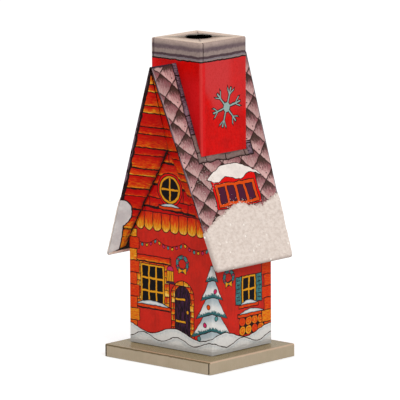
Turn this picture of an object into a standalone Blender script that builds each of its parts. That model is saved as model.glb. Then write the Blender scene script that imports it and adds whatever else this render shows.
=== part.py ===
# Incense smoker house of printed tinplate.
# A hollow house with a steep roof and a square chimney lifts off a folded base tray.
# The tray carries a dish for the incense cone; the smoke leaves by the chimney.
# X runs along the gable front, Y towards the back, Z up. The front faces -Y.
# The origin is on the table, under the middle of the house.

import math

import bmesh
import bpy
from mathutils import Vector

mm = 0.001

# Tinplate and the clearance that neighbouring pieces keep

sheet = 0.4 * mm
gap = 0.3 * mm

# Base tray with its stiffening board

tray_width = 63.8 * mm
tray_depth = 56.0 * mm
tray_height = 5.7 * mm
tray_shift_x = 0.9 * mm
tray_shift_y = -1.5 * mm
tray_corner_radius = 1.2 * mm
tray_fold_radius = 0.7 * mm
tray_seam_width = 0.25 * mm

# Dish for the incense cone and the rivet that holds it

dish_rim_radius = 12.0 * mm
dish_floor_radius = 9.0 * mm
dish_height = 3.0 * mm
rivet_shank_radius = 1.2 * mm
rivet_head_radius = 2.2 * mm
rivet_head_height = 0.7 * mm

# Clips that stand on the tray inside the walls

clip_width = 8.0 * mm
clip_foot = 4.0 * mm
clip_height = 5.5 * mm

# House walls

house_width = 50.0 * mm
house_depth = 38.8 * mm
wall_corner_radius = 1.0 * mm
gable_top_height = 112.0 * mm
back_lap = 4.0 * mm
air_hole_radius = 3.2 * mm
air_hole_spacing = 12.0 * mm
air_hole_height = 16.0 * mm
air_hole_count = 3

# Roof: the ridge is longer than the eaves, so the rakes lean out towards it

ridge_height = 133.7 * mm
eaves_height = 45.5 * mm
eaves_reach = 32.5 * mm
eaves_half_length = 24.8 * mm
ridge_half_length = 31.3 * mm

# Soffit flanges folded in from the rakes; their free edges lie along the gables

soffit_meeting_height = 95.0 * mm
soffit_foot_reach = 26.6 * mm
soffit_foot_height = 49.3 * mm
soffit_rows = 6

# Strips and brackets inside that join the sheets

ridge_strip_length = 11.0 * mm
ridge_strip_leg = 5.0 * mm
bracket_width = 6.0 * mm
bracket_spacing = 22.0 * mm
bracket_leg = 8.0 * mm
chimney_clip_width = 20.0 * mm
chimney_clip_leg = 8.0 * mm

# Chimney with four folded top flaps round the smoke hole

chimney_width = 29.7 * mm
chimney_rise_over_ridge = 10.0 * mm
chimney_corner_radius = 1.2 * mm
chimney_fold_radius = 0.9 * mm
chimney_reach_through_roof = 4.0 * mm
smoke_hole_radius = 5.8 * mm
flap_seam_width = 0.25 * mm
flap_seam_end = 1.6 * mm

# Snow paste on the lower roof: its upper line drifts along the slope,
# as (share of the half length, share of the drift's height)

snow_thickness = 0.5 * mm
snow_edge_inset = 0.3 * mm
snow_drift_height = 29.5 * mm
snow_line = (
    (-1.00, 0.60),
    (-0.66, 0.75),
    (-0.23, 0.90),
    (-0.03, 0.96),
    (0.14, 0.95),
    (0.24, 0.89),
    (0.56, 0.86),
    (0.77, 0.93),
    (1.00, 1.00),
)

# Values that follow from the driving dimensions

roof_rise = (ridge_height - eaves_height) / eaves_reach
roof_pitch = math.atan(roof_rise)
roof_length = math.hypot(eaves_reach, ridge_height - eaves_height)
roof_drop_inside = sheet / math.cos(roof_pitch)
roof_drop_clear = (sheet + gap) / math.cos(roof_pitch)
chimney_top = ridge_height + chimney_rise_over_ridge
wall_foot = tray_height + gap
wall_inside_x = house_width / 2 - sheet
wall_inside_y = house_depth / 2 - sheet
trim = 1.0 * mm
beyond = 10.0 * mm

# Materials: name, colour, roughness, metallic

finishes = {
    "tray_lacquer": ((0.46, 0.40, 0.29), 0.32, 0.5),
    "fibre_board": ((0.20, 0.13, 0.08), 0.85, 0.0),
    "bright_tin": ((0.62, 0.62, 0.60), 0.30, 1.0),
    "wall_print": ((0.57, 0.02, 0.01), 0.35, 0.0),
    "roof_print": ((0.36, 0.22, 0.24), 0.35, 0.0),
    "chimney_print": ((0.60, 0.02, 0.01), 0.35, 0.0),
    "snow_paste": ((0.80, 0.74, 0.69), 0.80, 0.0),
}


def clear_scene():
    for item in list(bpy.data.objects):
        bpy.data.objects.remove(item, do_unlink=True)


def make_material(name):
    colour, roughness, metallic = finishes[name]
    material = bpy.data.materials.new(name)
    material.use_nodes = True
    shader = material.node_tree.nodes["Principled BSDF"]
    shader.inputs["Base Color"].default_value = (*colour, 1.0)
    shader.inputs["Roughness"].default_value = roughness
    shader.inputs["Metallic"].default_value = metallic
    material.diffuse_color = (*colour, 1.0)
    return material


def add_object(name, shape, finish=None):
    mesh = bpy.data.meshes.new(name)
    bmesh.ops.recalc_face_normals(shape, faces=shape.faces)
    shape.to_mesh(mesh)
    shape.free()
    item = bpy.data.objects.new(name, mesh)
    bpy.context.scene.collection.objects.link(item)
    if finish:
        mesh.materials.append(make_material(finish))
    else:
        item.hide_render = True
        item.display_type = "WIRE"
    return item


def cut(target, cutter, operation="DIFFERENCE"):
    modifier = target.modifiers.new(cutter.name, "BOOLEAN")
    modifier.operation = operation
    modifier.solver = "EXACT"
    modifier.object = cutter


def box_shape(low, high, corner_radius=0.0, fold_radius=0.0):
    # A box; its upright edges and then its top edges can be rounded.
    shape = bmesh.new()
    bmesh.ops.create_cube(shape, size=1.0)
    for vertex in shape.verts:
        for axis in range(3):
            middle = (low[axis] + high[axis]) / 2
            vertex.co[axis] = middle + vertex.co[axis] * (high[axis] - low[axis])
    if corner_radius > 0:
        upright = [edge for edge in shape.edges if is_upright(edge)]
        bmesh.ops.bevel(shape, geom=upright, offset=corner_radius, segments=4,
                        affect="EDGES", profile=0.5)
    if fold_radius > 0:
        rim = [edge for edge in shape.edges if is_on_top(edge, high[2])]
        bmesh.ops.bevel(shape, geom=rim, offset=fold_radius, segments=3,
                        affect="EDGES", profile=0.5)
    return shape


def is_upright(edge):
    start, end = (vertex.co for vertex in edge.verts)
    return abs(start.z - end.z) > math.hypot(start.x - end.x, start.y - end.y)


def is_on_top(edge, height):
    return all(abs(vertex.co.z - height) < gap / 10 for vertex in edge.verts)


def prism_shape(outline, start, end, axis="Y"):
    # The outline is given in the plane across the axis and runs from start to end along it.
    shape = bmesh.new()
    rings = []
    for along in (start, end):
        if axis == "Y":
            ring = [shape.verts.new((across, along, up)) for across, up in outline]
        else:
            ring = [shape.verts.new((across, depth, along)) for across, depth in outline]
        rings.append(ring)
    shape.faces.new(rings[0])
    shape.faces.new(list(reversed(rings[1])))
    for index in range(len(outline)):
        following = (index + 1) % len(outline)
        shape.faces.new((rings[0][index], rings[1][index], rings[1][following], rings[0][following]))
    return shape


def turned_shape(profile, segments, centre=(0.0, 0.0)):
    # A closed profile of (radius, height) points turned round an upright axis.
    shape = bmesh.new()
    rings = []
    for step in range(segments):
        angle = 2 * math.pi * step / segments
        ring = []
        for radius, height in profile:
            x = centre[0] + radius * math.cos(angle)
            y = centre[1] + radius * math.sin(angle)
            ring.append(shape.verts.new((x, y, height)))
        rings.append(ring)
    for step in range(segments):
        here = rings[step]
        there = rings[(step + 1) % segments]
        for index in range(len(profile)):
            following = (index + 1) % len(profile)
            shape.faces.new((here[index], there[index], there[following], here[following]))
    return shape


def cylinder_shape(radius, low, high, segments=32, axis="Z", centre=(0.0, 0.0)):
    outline = []
    for step in range(segments):
        angle = 2 * math.pi * step / segments
        across = centre[0] + radius * math.cos(angle)
        outline.append((across, centre[1] + radius * math.sin(angle)))
    return prism_shape(outline, low, high, axis)


def bent_strip_outline(path, thickness):
    # A strip of even thickness whose outer face follows the path; it lies to the path's left.
    inner = []
    for index, point in enumerate(path):
        sides = []
        if index > 0:
            sides.append(unit_left(path[index - 1], point))
        if index < len(path) - 1:
            sides.append(unit_left(point, path[index + 1]))
        sum_x = sum(side[0] for side in sides)
        sum_z = sum(side[1] for side in sides)
        length = math.hypot(sum_x, sum_z)
        mitre = thickness / (length / len(sides))
        inner.append((point[0] + sum_x / length * mitre, point[1] + sum_z / length * mitre))
    return list(path) + list(reversed(inner))


def unit_left(start, end):
    along_x = end[0] - start[0]
    along_z = end[1] - start[1]
    length = math.hypot(along_x, along_z)
    return (-along_z / length, along_x / length)


def roof_outside(x):
    return ridge_height - roof_rise * abs(x)


def roof_under(x):
    # The lowest height that still keeps the clearance under the roof sheet.
    return roof_outside(x) - roof_drop_clear


def shade_round(item, angle=35.0):
    item.data.shade_smooth()
    item.data.set_sharp_from_angle(angle=math.radians(angle))


# Base

def build_base_tray():
    half_x = tray_width / 2
    half_y = tray_depth / 2
    low = (tray_shift_x - half_x, tray_shift_y - half_y, 0.0)
    high = (tray_shift_x + half_x, tray_shift_y + half_y, tray_height)
    tray = add_object("base_tray", box_shape(low, high, tray_corner_radius, tray_fold_radius),
                      "tray_lacquer")
    hollow_low = (low[0] + sheet, low[1] + sheet, -trim)
    hollow_high = (high[0] - sheet, high[1] - sheet, tray_height - sheet)
    hollow = box_shape(hollow_low, hollow_high, tray_corner_radius - sheet)
    cut(tray, add_object("tray_hollow_cutter", hollow))
    rivet_hole = cylinder_shape(rivet_shank_radius + gap, tray_height / 2, tray_height + trim)
    cut(tray, add_object("tray_rivet_hole_cutter", rivet_hole))
    for side_x in (-1, 1):
        for side_y in (-1, 1):
            seam_x = tray_shift_x + side_x * (half_x - tray_corner_radius)
            face_y = tray_shift_y + side_y * half_y
            seam_low = (seam_x - tray_seam_width / 2, face_y - sheet - trim, -trim)
            seam_high = (seam_x + tray_seam_width / 2, face_y + sheet + trim,
                         tray_height - tray_fold_radius)
            name = "tray_seam_cutter_%d_%d" % (side_x + 1, side_y + 1)
            cut(tray, add_object(name, box_shape(seam_low, seam_high)))


def build_base_board():
    half_x = tray_width / 2 - sheet - gap
    half_y = tray_depth / 2 - sheet - gap
    board_top = tray_height - sheet - gap
    low = (tray_shift_x - half_x, tray_shift_y - half_y, 0.0)
    high = (tray_shift_x + half_x, tray_shift_y + half_y, board_top)
    board = add_object("base_board", box_shape(low, high, tray_corner_radius), "fibre_board")
    tail_room = rivet_head_height + 2 * gap
    recess = cylinder_shape(rivet_head_radius + gap, board_top - tail_room, board_top + trim)
    cut(board, add_object("board_recess_cutter", recess))


def build_cone_dish():
    floor = tray_height + gap
    rim = floor + dish_height
    hole = rivet_shank_radius + gap
    profile = (
        (hole, floor),
        (dish_floor_radius, floor),
        (dish_rim_radius, rim - sheet),
        (dish_rim_radius + 2 * sheet, rim - sheet),
        (dish_rim_radius + 2 * sheet, rim),
        (dish_rim_radius - sheet, rim),
        (dish_floor_radius - sheet, floor + sheet),
        (hole, floor + sheet),
    )
    dish = add_object("cone_dish", turned_shape(profile, 40), "bright_tin")
    shade_round(dish)


def build_dish_rivet():
    head_low = tray_height + gap + sheet + gap
    tail_high = tray_height - sheet - gap
    profile = (
        (0.3 * rivet_shank_radius, head_low + rivet_head_height),
        (0.3 * rivet_shank_radius, tail_high - rivet_head_height),
        (rivet_head_radius, tail_high - rivet_head_height),
        (rivet_head_radius, tail_high),
        (rivet_shank_radius, tail_high),
        (rivet_shank_radius, head_low),
        (rivet_head_radius, head_low),
        (0.7 * rivet_head_radius, head_low + rivet_head_height),
    )
    rivet = add_object("dish_rivet", turned_shape(profile, 20), "bright_tin")
    shade_round(rivet)


def build_locating_clips():
    # Each clip is an angle: a foot on the tray and an upright just inside a wall.
    foot_low = tray_height + gap
    top = foot_low + clip_height
    half = clip_width / 2
    reach = {"front": wall_inside_y, "back": wall_inside_y, "left": wall_inside_x, "right": wall_inside_x}
    for side, inside in reach.items():
        face = inside - gap
        outline = (
            (face, foot_low),
            (face, top),
            (face - sheet, top),
            (face - sheet, foot_low + sheet),
            (face - clip_foot, foot_low + sheet),
            (face - clip_foot, foot_low),
        )
        clip = add_object("locating_clip_" + side, prism_shape(outline, -half, half), "bright_tin")
        turns = {"right": 0, "back": 90, "left": 180, "front": 270}
        clip.rotation_euler.z = math.radians(turns[side])


# House walls

def gable_prism():
    # What is left of a wall under the roof sheets, with a flat top behind the soffits.
    half = house_width / 2 + beyond
    crest = (roof_under(0) - gable_top_height) / roof_rise
    outline = (
        (-half, wall_foot),
        (half, wall_foot),
        (half, roof_under(half)),
        (crest, gable_top_height),
        (-crest, gable_top_height),
        (-half, roof_under(half)),
    )
    return prism_shape(outline, -house_depth, house_depth)


def build_wall_wrap():
    # One sheet bent round both front corners: front gable and both side walls.
    half_x = house_width / 2
    half_y = house_depth / 2
    low = (-half_x, -half_y, wall_foot - trim)
    high = (half_x, half_y + beyond, ridge_height)
    wrap = add_object("wall_wrap", box_shape(low, high, wall_corner_radius), "wall_print")
    hollow = box_shape((-wall_inside_x, -wall_inside_y, -trim),
                       (wall_inside_x, half_y + 2 * beyond, ridge_height + trim),
                       wall_corner_radius - sheet)
    cut(wrap, add_object("wall_hollow_cutter", hollow))
    back_off = box_shape((-house_width, half_y, -trim),
                         (house_width, half_y + 2 * beyond, ridge_height + trim))
    cut(wrap, add_object("wall_back_cutter", back_off))
    cut(wrap, add_object("wall_gable_keeper", gable_prism()), "INTERSECT")


def build_back_wall():
    # The back gable, with a lap folded forwards inside each side wall.
    face = house_depth / 2
    half = wall_inside_x - gap
    path = ((-half, face - back_lap), (-half, face), (half, face), (half, face - back_lap))
    outline = bent_strip_outline(tuple(reversed(path)), sheet)
    back = add_object("back_wall", prism_shape(outline, 0.0, ridge_height, "Z"), "wall_print")
    cut(back, add_object("back_gable_keeper", gable_prism()), "INTERSECT")
    for index in range(air_hole_count):
        across = (index - (air_hole_count - 1) / 2) * air_hole_spacing
        hole = cylinder_shape(air_hole_radius, face - back_lap, face + trim, 24, "Y",
                              (across, air_hole_height))
        cut(back, add_object("air_hole_cutter_%d" % (index + 1), hole))


# Roof

def rake_offset(rake_way, flange_way, slope_out):
    # From the outer fold line of a rake to the inner one, and the soffit's outward direction.
    flange_out = rake_way.cross(flange_way).normalized()
    if flange_out.dot(slope_out) > 0:
        flange_out = -flange_out
    shift = -(slope_out + flange_out) * sheet / (1 + slope_out.dot(flange_out))
    return shift, flange_out


def slide_to_ridge(point, way, side):
    return point + way * ((side * gap / 2 - point.x) / way.x)


def roof_half_rows(side):
    # Rows from the eaves to the ridge over the back half of one roof sheet.
    # Each row holds the free soffit edge and the rake, outside and inside.
    soffit_y = house_depth / 2 + gap + sheet
    foot = Vector((side * soffit_foot_reach, soffit_y, soffit_foot_height))
    meeting = Vector((0.0, soffit_y, soffit_meeting_height))
    eaves = Vector((side * eaves_reach, eaves_half_length, eaves_height))
    ridge = Vector((0.0, ridge_half_length, ridge_height))
    rake_way = (ridge - eaves).normalized()
    free_way = (meeting - foot).normalized()
    slope_out = Vector((side * math.sin(roof_pitch), 0.0, math.cos(roof_pitch)))
    rows = []
    for row in range(soffit_rows + 1):
        share = row / soffit_rows
        free = foot.lerp(meeting, share)
        rake = eaves.lerp(ridge, share)
        shift, flange_out = rake_offset(rake_way, free - rake, slope_out)
        free_inside = free - flange_out * sheet
        rake_inside = rake + shift
        if row == soffit_rows:
            free, free_inside = (slide_to_ridge(point, free_way, side) for point in (free, free_inside))
            rake, rake_inside = (slide_to_ridge(point, rake_way, side) for point in (rake, rake_inside))
        rows.append((free, rake, free_inside, rake_inside))
    return rows


def roof_sheet_shape(side):
    # A slope with a soffit flange folded in along each rake, as one closed sheet.
    shape = bmesh.new()
    outer = []
    inner = []
    for free, rake, free_inside, rake_inside in roof_half_rows(side):
        for face, start, fold in ((outer, free, rake), (inner, free_inside, rake_inside)):
            back = (start, fold)
            front = tuple(Vector((point.x, -point.y, point.z)) for point in (fold, start))
            face.append([shape.verts.new(point) for point in back + front])
    last = len(outer) - 1
    for row in range(last):
        for column in range(3):
            for face in (outer, inner):
                shape.faces.new((face[row][column], face[row][column + 1],
                                 face[row + 1][column + 1], face[row + 1][column]))
        for column in (0, 3):
            shape.faces.new((outer[row][column], inner[row][column],
                             inner[row + 1][column], outer[row + 1][column]))
    for row in (0, last):
        for column in range(3):
            shape.faces.new((outer[row][column], inner[row][column],
                             inner[row][column + 1], outer[row][column + 1]))
    return shape


def build_roof_sheet(side, name):
    roof = add_object(name, roof_sheet_shape(side), "roof_print")
    half = chimney_width / 2 + gap
    opening = box_shape((-half, -half, 0.0), (half, half, 2 * ridge_height))
    cut(roof, add_object(name + "_chimney_cutter", opening))


def build_ridge_strips():
    # Folded strips under the ridge join the two roof sheets before and behind the chimney.
    reach = ridge_strip_leg * math.cos(roof_pitch)
    path = ((reach, roof_under(reach)), (0.0, roof_under(0)), (-reach, roof_under(reach)))
    outline = bent_strip_outline(path, sheet)
    near = chimney_width / 2 + 2 * gap
    for side, name in ((-1, "ridge_strip_front"), (1, "ridge_strip_back")):
        ends = sorted((side * near, side * (near + ridge_strip_length)))
        add_object(name, prism_shape(outline, *ends), "bright_tin")


def build_roof_brackets():
    # Each bracket joins a side wall's inner face to the underside of the slope above it.
    face = wall_inside_x - gap
    knee = roof_under(face)
    top_x = face - bracket_leg * math.cos(roof_pitch)
    path = ((face, knee - bracket_leg), (face, knee), (top_x, roof_under(top_x)))
    outline = bent_strip_outline(path, sheet)
    half = bracket_width / 2
    for side_x, word_x in ((-1, "left"), (1, "right")):
        for side_y, word_y in ((-1, "front"), (1, "back")):
            mirrored = [(side_x * x, z) for x, z in outline]
            middle = side_y * bracket_spacing / 2
            name = "roof_bracket_%s_%s" % (word_x, word_y)
            add_object(name, prism_shape(mirrored, middle - half, middle + half), "bright_tin")


# Chimney

def build_chimney():
    half = chimney_width / 2
    inside = half - sheet
    low = (-half, -half, eaves_height)
    high = (half, half, chimney_top)
    chimney = add_object("chimney_sheet", box_shape(low, high, chimney_corner_radius,
                                                    chimney_fold_radius), "chimney_print")
    shaft = box_shape((-inside, -inside, 0.0), (inside, inside, chimney_top - sheet),
                      chimney_corner_radius - sheet, chimney_fold_radius - sheet)
    cut(chimney, add_object("chimney_shaft_cutter", shaft))
    hole = cylinder_shape(smoke_hole_radius, chimney_top / 2, 2 * chimney_top,
                          axis="Z")
    cut(chimney, add_object("smoke_hole_cutter", hole))
    seam_start = smoke_hole_radius - sheet
    seam_stop = half * math.sqrt(2) - flap_seam_end
    for corner in range(4):
        seam = box_shape((seam_start, -flap_seam_width / 2, chimney_top - 2 * sheet),
                         (seam_stop, flap_seam_width / 2, chimney_top + trim))
        cutter = add_object("flap_seam_cutter_%d" % (corner + 1), seam)
        cutter.rotation_euler.z = math.radians(45 + 90 * corner)
        cut(chimney, cutter)
    # The lower edge runs parallel to the roof, under its outer face.
    far = chimney_width
    foot = ridge_height - chimney_reach_through_roof
    outline = (
        (-far, 0.0),
        (far, 0.0),
        (far, foot - roof_rise * far),
        (0.0, foot),
        (-far, foot - roof_rise * far),
    )
    cut(chimney, add_object("chimney_foot_cutter", prism_shape(outline, -far, far)))


def build_chimney_clips():
    # A folded clip under each slope: one leg on the chimney's side, one on the roof's underside.
    face = chimney_width / 2 + gap
    peak = roof_under(face)
    low_x = face + chimney_clip_leg * math.cos(roof_pitch)
    path = ((low_x, roof_under(low_x)), (face, peak), (face, peak - chimney_clip_leg))
    outline = bent_strip_outline(path, sheet)
    half = chimney_clip_width / 2
    for side, name in ((-1, "chimney_clip_left"), (1, "chimney_clip_right")):
        mirrored = [(side * x, z) for x, z in outline]
        add_object(name, prism_shape(mirrored, -half, half), "bright_tin")


# Snow

def build_snow(side, name):
    # A coat of paste over the lower slope, its upper line drifting along the roof.
    lean = (ridge_half_length - eaves_half_length) / roof_length
    outline = []
    for share, climb in ((-1.0, 0.0), (1.0, 0.0), *reversed(snow_line)):
        up = climb * snow_drift_height
        half = eaves_half_length + lean * up - snow_edge_inset
        outline.append((share * half, up))
    shape = bmesh.new()
    layers = []
    for lift in (gap, gap + snow_thickness):
        layer = []
        for along, up in outline:
            x = eaves_reach - up * math.cos(roof_pitch) + lift * math.sin(roof_pitch)
            z = eaves_height + up * math.sin(roof_pitch) + lift * math.cos(roof_pitch)
            layer.append(shape.verts.new((side * x, side * along, z)))
        layers.append(layer)
    shape.faces.new(layers[0])
    shape.faces.new(list(reversed(layers[1])))
    for index in range(len(outline)):
        following = (index + 1) % len(outline)
        shape.faces.new((layers[0][index], layers[1][index],
                         layers[1][following], layers[0][following]))
    add_object(name, shape, "snow_paste")


clear_scene()
build_base_tray()
build_base_board()
build_cone_dish()
build_dish_rivet()
build_locating_clips()
build_wall_wrap()
build_back_wall()
build_roof_sheet(-1, "left_roof_sheet")
build_roof_sheet(1, "right_roof_sheet")
build_ridge_strips()
build_roof_brackets()
build_chimney()
build_chimney_clips()
build_snow(1, "snow_right")
build_snow(-1, "snow_left")
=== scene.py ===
# The looks of a smoker house of printed tinplate: a lift-off house on a folded tray.
# Lengths in the dictionaries are in millimetres, except where a note says otherwise.

import math

import bpy
import numpy as np
from mathutils import Matrix, Vector


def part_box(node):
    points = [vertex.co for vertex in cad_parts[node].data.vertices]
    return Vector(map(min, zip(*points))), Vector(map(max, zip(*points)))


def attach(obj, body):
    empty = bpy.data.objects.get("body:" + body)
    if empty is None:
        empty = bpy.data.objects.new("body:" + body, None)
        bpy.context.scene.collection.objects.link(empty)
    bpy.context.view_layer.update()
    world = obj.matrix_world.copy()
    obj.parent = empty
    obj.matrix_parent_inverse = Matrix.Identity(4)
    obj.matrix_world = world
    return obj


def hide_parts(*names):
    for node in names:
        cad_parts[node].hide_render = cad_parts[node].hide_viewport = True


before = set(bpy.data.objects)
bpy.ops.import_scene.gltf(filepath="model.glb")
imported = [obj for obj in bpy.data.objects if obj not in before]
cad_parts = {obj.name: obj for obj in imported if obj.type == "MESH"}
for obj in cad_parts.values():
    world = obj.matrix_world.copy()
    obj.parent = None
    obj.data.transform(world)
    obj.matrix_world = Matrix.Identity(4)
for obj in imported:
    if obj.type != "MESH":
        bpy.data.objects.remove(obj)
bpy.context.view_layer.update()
mm = 0.001
print("frame loaded")


def cadSize(node):
    low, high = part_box(node)
    return np.array(low) / mm, np.array(high) / mm


wallLow, wallHigh = cadSize("wall_wrap")
chimneyLow, chimneyHigh = cadSize("chimney_sheet")
trayLow, trayHigh = cadSize("base_tray")

house = {
    "sheet": 0.4,           # thickness of the tinplate
    "gap": 0.3,             # clearance between pieces
    "halfWidth": wallHigh[0],
    "halfDepth": wallHigh[1],
    "foot": wallLow[2],
    "gableTop": wallHigh[2],
    "cornerRadius": 0.6,
}
# where the middle of a front corner and the middle of a side wall lie on the wrapped print
house["cornerU"] = house["halfWidth"] - (1 - math.pi / 4) * house["cornerRadius"]
house["sideU"] = house["halfWidth"] + house["halfDepth"] - (2 - math.pi / 2) * house["cornerRadius"]
roof = {
    "ridgeHeight": 133.7,
    "eavesHeight": 45.5,
    "eavesReach": 32.5,
    "eavesHalfLength": 24.8,
    "ridgeHalfLength": 31.3,
    "meetingHeight": 95.0,   # where the two soffits meet at the gable
    "footReach": 26.6,       # the soffit's lowest corner
    "footHeight": 49.3,
    "foldRadius": 0.25,
    "ridgeGap": 0.06,        # between the two sheets
    "leftFrontStretch": 0.6,  # the left sheet's front rake stands this much further out
    "cutHalf": chimneyHigh[0] + 0.05,  # half the opening that the chimney stands in
    "courseLean": 0.12,      # how much the soffit boards drop towards the gable
}
roof["rise"] = (roof["ridgeHeight"] - roof["eavesHeight"]) / roof["eavesReach"]
roof["pitch"] = math.atan(roof["rise"])
roof["length"] = math.hypot(roof["eavesReach"], roof["ridgeHeight"] - roof["eavesHeight"])
roof["soffitY"] = house["halfDepth"] + house["gap"] + house["sheet"]
roof["lean"] = (roof["ridgeHalfLength"] - roof["eavesHalfLength"]) / roof["length"]
roof["eavesCorner"] = np.array((roof["eavesReach"], roof["eavesHalfLength"], roof["eavesHeight"]))
roof["ridgeEnd"] = np.array((0.0, roof["ridgeHalfLength"], roof["ridgeHeight"]))
roof["soffitFoot"] = np.array((roof["footReach"], roof["soffitY"], roof["footHeight"]))
roof["soffitMeeting"] = np.array((0.0, roof["soffitY"], roof["meetingHeight"]))


# Camera, worked out from the photographed corners

cameraPlace = {
    "turn": 42.606,          # degrees round from the front towards the right
    "rise": 10.007,
    "roll": -0.346,
    "distance": 2206.66,
    "aimHeight": 75.0,
    "across": 0.181,
    "lift": -4.583,
    "sensor": 36.0,
    "lens": 447.09,
    "clip": (0.1, 20.0),     # nearest and farthest seen, in metres
}


def placeCamera(place):
    # Stands back along a turned and risen line, then slides in the picture's own plane
    turn, rise, roll = (math.radians(place[key]) for key in ("turn", "rise", "roll"))
    back = Vector((math.sin(turn) * math.cos(rise), -math.cos(turn) * math.cos(rise), math.sin(rise)))
    level = Vector((math.cos(turn), math.sin(turn), 0.0))
    plumb = back.cross(level)
    right = level * math.cos(roll) + plumb * math.sin(roll)
    up = plumb * math.cos(roll) - level * math.sin(roll)
    spot = back * place["distance"] + right * place["across"] + up * place["lift"]
    spot += Vector((0.0, 0.0, place["aimHeight"]))
    data = bpy.data.cameras.new("camera")
    data.lens = place["lens"]
    data.sensor_width = place["sensor"]
    data.clip_start, data.clip_end = place["clip"]
    camera = bpy.data.objects.new("camera", data)
    bpy.context.scene.collection.objects.link(camera)
    axes = Matrix((right, up, back)).transposed().to_4x4()
    camera.matrix_world = Matrix.Translation(spot * mm) @ axes
    bpy.context.scene.camera = camera


placeCamera(cameraPlace)
print("camera placed")


# Shader writing: a Wire is a socket that can be reckoned with

class Wire:
    def __init__(self, tree, socket=None):
        self.tree = tree
        self.socket = socket

    def make(self, kind, settings=None, values=None, out=0):
        node = self.tree.nodes.new("ShaderNode" + kind)
        for key, value in (settings or {}).items():
            if key == "stops":
                setStops(node.color_ramp, value)
            else:
                setattr(node, key, value)
        for key, value in (values or {}).items():
            if isinstance(value, Wire):
                self.tree.links.new(value.socket, node.inputs[key])
            else:
                node.inputs[key].default_value = value
        return Wire(self.tree, node.outputs[out])

    def other(self, out):
        # Another output of the node that this socket belongs to
        return Wire(self.tree, self.socket.node.outputs[out])

    def calc(self, operation, *values, clamp=False):
        return self.make("Math", {"operation": operation, "use_clamp": clamp}, dict(enumerate(values)))

    def __add__(self, other):
        return self.calc("ADD", self, other)

    def __radd__(self, other):
        return self.calc("ADD", other, self)

    def __sub__(self, other):
        return self.calc("SUBTRACT", self, other)

    def __rsub__(self, other):
        return self.calc("SUBTRACT", other, self)

    def __mul__(self, other):
        return self.calc("MULTIPLY", self, other)

    def __rmul__(self, other):
        return self.calc("MULTIPLY", other, self)

    def __truediv__(self, other):
        return self.calc("DIVIDE", self, other)

    def __abs__(self):
        return self.calc("ABSOLUTE", self)


def setStops(ramp, stops):
    while len(ramp.elements) < len(stops):
        ramp.elements.new(1.0)
    for element, (place, colour) in zip(ramp.elements, stops):
        element.position = place
        element.color = tone(colour)


def tone(colour):
    # A paint's name or six hexadecimal digits, in linear light; a wire is passed on
    if isinstance(colour, Wire):
        return colour
    code = paints.get(colour, colour)
    parts = [int(code[at:at + 2], 16) / 255 for at in (0, 2, 4)]
    linear = [part / 12.92 if part <= 0.04045 else ((part + 0.055) / 1.055) ** 2.4 for part in parts]
    return (*linear, 1.0)


def least(first, second):
    return first.calc("MINIMUM", first, second)


def most(first, second):
    return first.calc("MAXIMUM", first, second)


def fraction(wire):
    return wire.calc("FRACT", wire)


def whole(wire):
    return wire.calc("FLOOR", wire)


def ease(wire, start, stop):
    # 0 at start, 1 at stop, smooth between them
    return wire.make("MapRange", {"interpolation_type": "SMOOTHSTEP"}, {0: wire, 1: start, 2: stop})


def mix(factor, first, second):
    # The first colour where the factor is 0, the second where it is 1
    return factor.make("Mix", {"data_type": "RGBA"}, {0: factor, 6: tone(first), 7: tone(second)}, 2)


def shade(colour, factor):
    # The colour made lighter or darker by a number that changes over the surface
    grey = factor.make("CombineColor", None, {0: factor, 1: factor, 2: factor})
    settings = {"data_type": "RGBA", "blend_type": "MULTIPLY"}
    return factor.make("Mix", settings, {0: 1.0, 6: colour, 7: grey}, 2)


def wireAmong(*values):
    return next(value for value in values if isinstance(value, Wire))


def vector(operation, *values, out=0):
    settings = {"operation": operation}
    return wireAmong(*values).make("VectorMath", settings, dict(enumerate(values)), out)


def speckle(place, scale, detail=2.0, rough=0.5, out=0):
    values = {"Vector": place, "Scale": scale, "Detail": detail, "Roughness": rough}
    return place.make("TexNoise", None, values, out)


def pair(first, second):
    return wireAmong(first, second).make("CombineXYZ", None, {0: first, 1: second})


def chance(first, second):
    # A random number for each cell
    spot = pair(first, second)
    return spot.make("TexWhiteNoise", {"noise_dimensions": "2D"}, {0: spot})


def wave(wire, rate, shift=0.0):
    return wire.calc("SINE", wire * rate + shift)


def repeat(wire, pitch, start=0.0):
    # Distance from the middle of a cell that comes again every pitch, a first one beginning at start
    return (fraction((wire - start) / pitch) - 0.5) * pitch


softEdge = 0.09   # width over which a printed edge fades
inkWidth = 0.42   # of an outline
fineInk = 0.34    # of a line within a motif
thinInk = 0.3


def inside(distance):
    # 1 where the distance to an outline is negative
    return distance.calc("MULTIPLY_ADD", distance, -1 / softEdge, 0.5, clamp=True)


def along(distance, width=inkWidth):
    # 1 on a line of that width, where the distance is nought
    reach = 0.5 + width / 2 / softEdge
    return distance.calc("MULTIPLY_ADD", abs(distance), -1 / softEdge, reach, clamp=True)


# Print colours, matched to the photograph

paints = {
    "ink": "24100F",
    "red": "D80A06",
    "deepRed": "BC0907",
    "wallRed": "D0281B",
    "wallDeep": "B42419",
    "orange": "D84A0C",
    "fire": "C81E0A",
    "yellow": "E09A1A",
    "straw": "EEBC58",
    "pane": "0B080C",
    "plum": "43203C",
    "teal": "4A8888",
    "darkTeal": "2F5F62",
    "magenta": "C0285A",
    "snow": "DCDAD6",
    "snowShade": "A3B0B5",
    "warmSnow": "C4BEBD",
    "ice": "93A8A2",
    "slateLight": "D0A9A4",
    "slateMid": "8E5C5F",
    "slateDark": "44302A",
    "slateInk": "2C1715",
    "rosy": "A8585F",
    "rubbed": "A5959B",
    "flashing": "3C2631",
    "flashingLight": "7E6874",
    "stone": "9C8983",
    "stoneLight": "B7A096",
    "stoneDark": "66545B",
    "footShade": "83807C",
}


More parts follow.
